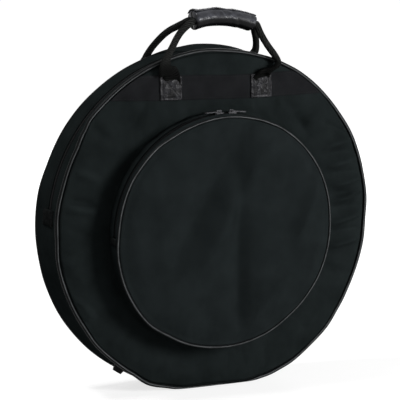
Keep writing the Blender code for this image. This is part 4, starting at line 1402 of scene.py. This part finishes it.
front_rows = [(-0.0905, -0.0498, 0.5310, 0.0165, 0.0012), (-0.0910, -0.0515, 0.5395, 0.0172, 0.0018),
              (-0.0960, -0.0532, 0.5445, 0.0184, 0.0024), (-0.1000, -0.0542, 0.5500, 0.0172, 0.0032),
              (-0.1026, -0.0545, 0.5560, 0.0128, 0.0042), (-0.1028, -0.0538, 0.5625, 0.0092, 0.0052),
              (-0.1004, -0.0526, 0.5700, 0.0070, 0.0057), (-0.0955, -0.0510, 0.5795, 0.0060, 0.0058),
              (-0.0880, -0.0490, 0.5910, 0.0058, 0.0057), (-0.0790, -0.0470, 0.6055, 0.0058, 0.0057),
              (-0.0680, -0.0455, 0.6180, 0.0059, 0.0058), *through_grip(-0.045),
              (0.0755, -0.0458, 0.6130, 0.0059, 0.0058), (0.0825, -0.0470, 0.6005, 0.0058, 0.0057),
              (0.0908, -0.0484, 0.5882, 0.0058, 0.0057), (0.0992, -0.0505, 0.5770, 0.0058, 0.0058),
              (0.1050, -0.0530, 0.5680, 0.0056, 0.0062), (0.1074, -0.0555, 0.5610, 0.0048, 0.0070),
              (0.1040, -0.0578, 0.5555, 0.0038, 0.0080), (0.0965, -0.0582, 0.5510, 0.0036, 0.0080),
              (0.0885, -0.0568, 0.5465, 0.0062, 0.0060), (0.0815, -0.0540, 0.5430, 0.0125, 0.0032),
              (0.0775, -0.0515, 0.5388, 0.0168, 0.0018), (0.0775, -0.0498, 0.5310, 0.0165, 0.0012)]
back_rows = [(-0.0905, 0.0498, 0.5310, 0.0165, 0.0012), (-0.0902, 0.0515, 0.5400, 0.0169, 0.0018),
             (-0.0918, 0.0530, 0.5470, 0.0145, 0.0030), (-0.0925, 0.0530, 0.5545, 0.0105, 0.0048),
             (-0.0905, 0.0525, 0.5620, 0.0076, 0.0057), (-0.0882, 0.0505, 0.5700, 0.0062, 0.0058),
             (-0.0843, 0.0415, 0.5820, 0.0058, 0.0057), (-0.0793, 0.0290, 0.5945, 0.0058, 0.0057),
             (-0.0738, 0.0165, 0.6055, 0.0058, 0.0057), (-0.0682, 0.0040, 0.6140, 0.0058, 0.0057),
             (-0.0622, -0.0090, 0.6205, 0.0059, 0.0058), (-0.0568, -0.0205, 0.6262, 0.0059, 0.0058),
             *through_grip(-0.027), (0.0800, -0.0160, 0.6200, 0.0059, 0.0058),
             (0.0915, 0.0035, 0.6095, 0.0058, 0.0057), (0.1065, 0.0260, 0.5955, 0.0058, 0.0057),
             (0.1160, 0.0420, 0.5830, 0.0060, 0.0057), (0.1185, 0.0500, 0.5715, 0.0070, 0.0056),
             (0.1115, 0.0530, 0.5600, 0.0096, 0.0046), (0.0960, 0.0535, 0.5505, 0.0140, 0.0030),
             (0.0810, 0.0520, 0.5425, 0.0168, 0.0020), (0.0775, 0.0498, 0.5310, 0.0165, 0.0012)]
for name, rows, side, body, old in (("strap_front", front_rows, -1, "front_carry_handle", "front_handle"),
                                    ("strap_back", back_rows, 1, "back_carry_handle", "back_handle")):
    ends = ((-side * 0.96, 0, side * 0.26), (side * 0.97, 0, side * 0.24))
    strap = lofted(name, rows, facing=(0, side, 0), tucked=ends, crumple=0.0011)
    dressed(strap, strap_weave, 60, body, [old])
print("handles done")

# %% [markdown]
# The grip wraps both handles. It is two padded halves, which meet in a strip of hook and loop, and a flap on the
# rear half that laps over the top of the front one. Each half is a grid wrapped to a half oval, carried along
# the arch of the grip, with the creases and the raised left end that the picture shows.

# %% Grip
def grip_swell(share, turn):
    """Unevenness of the grip's outer side: creases, a flared left end and soft rounded ends."""
    flare = 0.14 * np.clip((-share - 0.55) / 0.45, 0, 1) ** 1.4
    crease = (0.022 * np.exp(-(((share - 0.20 + 0.22 * np.cos(turn)) / 0.07) ** 2))
              - 0.030 * np.exp(-(((share - 0.34 + 0.26 * np.cos(turn)) / 0.06) ** 2))
              - 0.025 * np.exp(-(((share + 0.38 - 0.14 * np.cos(turn)) / 0.08) ** 2))
              + 0.02 * np.exp(-(((share + 0.52) / 0.06) ** 2))
              - 0.08 * np.exp(-(((share - 0.80) / 0.05) ** 2 + ((turn - 1.0) / 0.5) ** 2)))
    ends = -0.16 * np.clip((np.abs(share) - 0.955) / 0.045, 0, 1) ** 2
    return 1 + flare + crease + ends


def grip_half(name, side, body, old):
    half = grid(name, 72, 32)

    def wrapped(places):
        share, v = places[:, 0], (places[:, 1] + 1) / 2
        bow = np.clip(v / 0.75, 0, 1)
        flat = np.clip((v - 0.75) / 0.25, 0, 1)
        turn = np.pi * bow
        swell = grip_swell(share, turn)
        gap = 0.00125
        y = gap + (grip_half_depth - gap) * np.sin(turn) * swell * (flat == 0)
        high = np.where(flat > 0, -1 + 2 * flat, np.cos(turn)) * grip_half_height * swell
        return along_grip(share, grip_y + side * y, high)
    reshape(half, wrapped)
    half.data.uv_layers[0].name = "cloth"
    close_up(half)
    eased(half, 0.0010, angle=55)
    return dressed(half, handled_leather, 50, body, [old])


grip_half("grip_front_pad", -1, "front_carry_handle", "grip_front_half")
grip_half("grip_back_pad", 1, "back_carry_handle", "grip_back_half")

flap = grid("grip_flap", 72, 16)


def flap_over(places):
    share, v = places[:, 0] * 0.985, (places[:, 1] + 1) / 2
    turn = -1.0 + 1.40 * v + 0.08 * np.sin(share * 5) * v
    swell = grip_swell(share, np.abs(turn))
    peak = np.exp(-(((share + 0.29) / 0.13) ** 2)) - 0.5 * np.exp(-(((share + 0.02) / 0.07) ** 2))
    lift = 0.0012 + 0.0016 * peak * np.clip(1 - turn**2 / 0.6, 0, 1) + 0.0022 * np.clip((-share - 0.80) / 0.2, 0, 1)
    y = grip_half_depth * np.sin(turn) * swell + lift * np.sin(turn)
    high = grip_half_height * np.cos(turn) * swell + lift * np.cos(turn)
    return along_grip(share, grip_y - y, high)


reshape(flap, flap_over)
flap.data.uv_layers[0].name = "cloth"
pick_all(flap)
bpy.ops.mesh.normals_make_consistent(inside=False)
bpy.ops.object.mode_set(mode="OBJECT")
modified(flap, "SOLIDIFY", thickness=0.0013, offset=0, use_rim=True)
eased(flap, 0.0004)
dressed(flap, grip_leather, 50, "back_carry_handle")
print("grip done")

# %% [markdown]
# Two rubber feet stand out of the edge, low on either side, for when the bag leans. A cylinder is drawn in at its
# top, and inset and extruded down to a recess with the rivet in it.

# %% Feet
foot_radius, foot_height, foot_base = 0.011, 0.0118, 0.2925


def foot(name, angle, old):
    begin()
    bpy.ops.mesh.primitive_cylinder_add(vertices=32, radius=foot_radius, depth=foot_height)
    piece = added(name)
    pick(piece, "FACE", lambda middle, normal: normal.z > 0.9)
    bpy.ops.transform.resize(value=(0.73, 0.73, 1))
    bpy.ops.mesh.inset(thickness=0.0022)
    bpy.ops.mesh.extrude_region_move(TRANSFORM_OT_translate={"value": (0, 0, -0.0032)})
    bpy.ops.mesh.inset(thickness=0.0012)
    bpy.ops.mesh.extrude_region_move(TRANSFORM_OT_translate={"value": (0, 0, 0.0012)})
    bpy.ops.object.mode_set(mode="OBJECT")
    pick(piece, "FACE", lambda middle, normal: normal.z < -0.9)
    bpy.ops.mesh.inset(thickness=0.0004)
    bpy.ops.object.mode_set(mode="OBJECT")
    eased(piece, 0.0007, 3, 35)
    turn = math.radians(angle)

    def stood(places):
        x, y, z = places.T
        return at_angle(turn, foot_base + foot_height / 2 + z, x, y)
    reshape(piece, stood)
    return dressed(piece, foot_rubber, 35, "bag", [old])


foot("foot_rubber_left", -147.5, "foot_left")
foot("foot_rubber_right", 147.5, "foot_right")
print("feet done")

# %% [markdown]
# The sliders, their pullers and the hook and loop strips have the right shape in the model already. They only
# get their finish.

# %% Finishes of the carried-over nodes
for name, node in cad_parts.items():
    if node.hide_render:
        continue
    finish = hook_tape if name.startswith("grip_") else zip_metal
    for material_slot in node.material_slots:
        material_slot.link = "OBJECT"
        material_slot.material = finish
    print(name, "keeps its model and gets", finish.name)
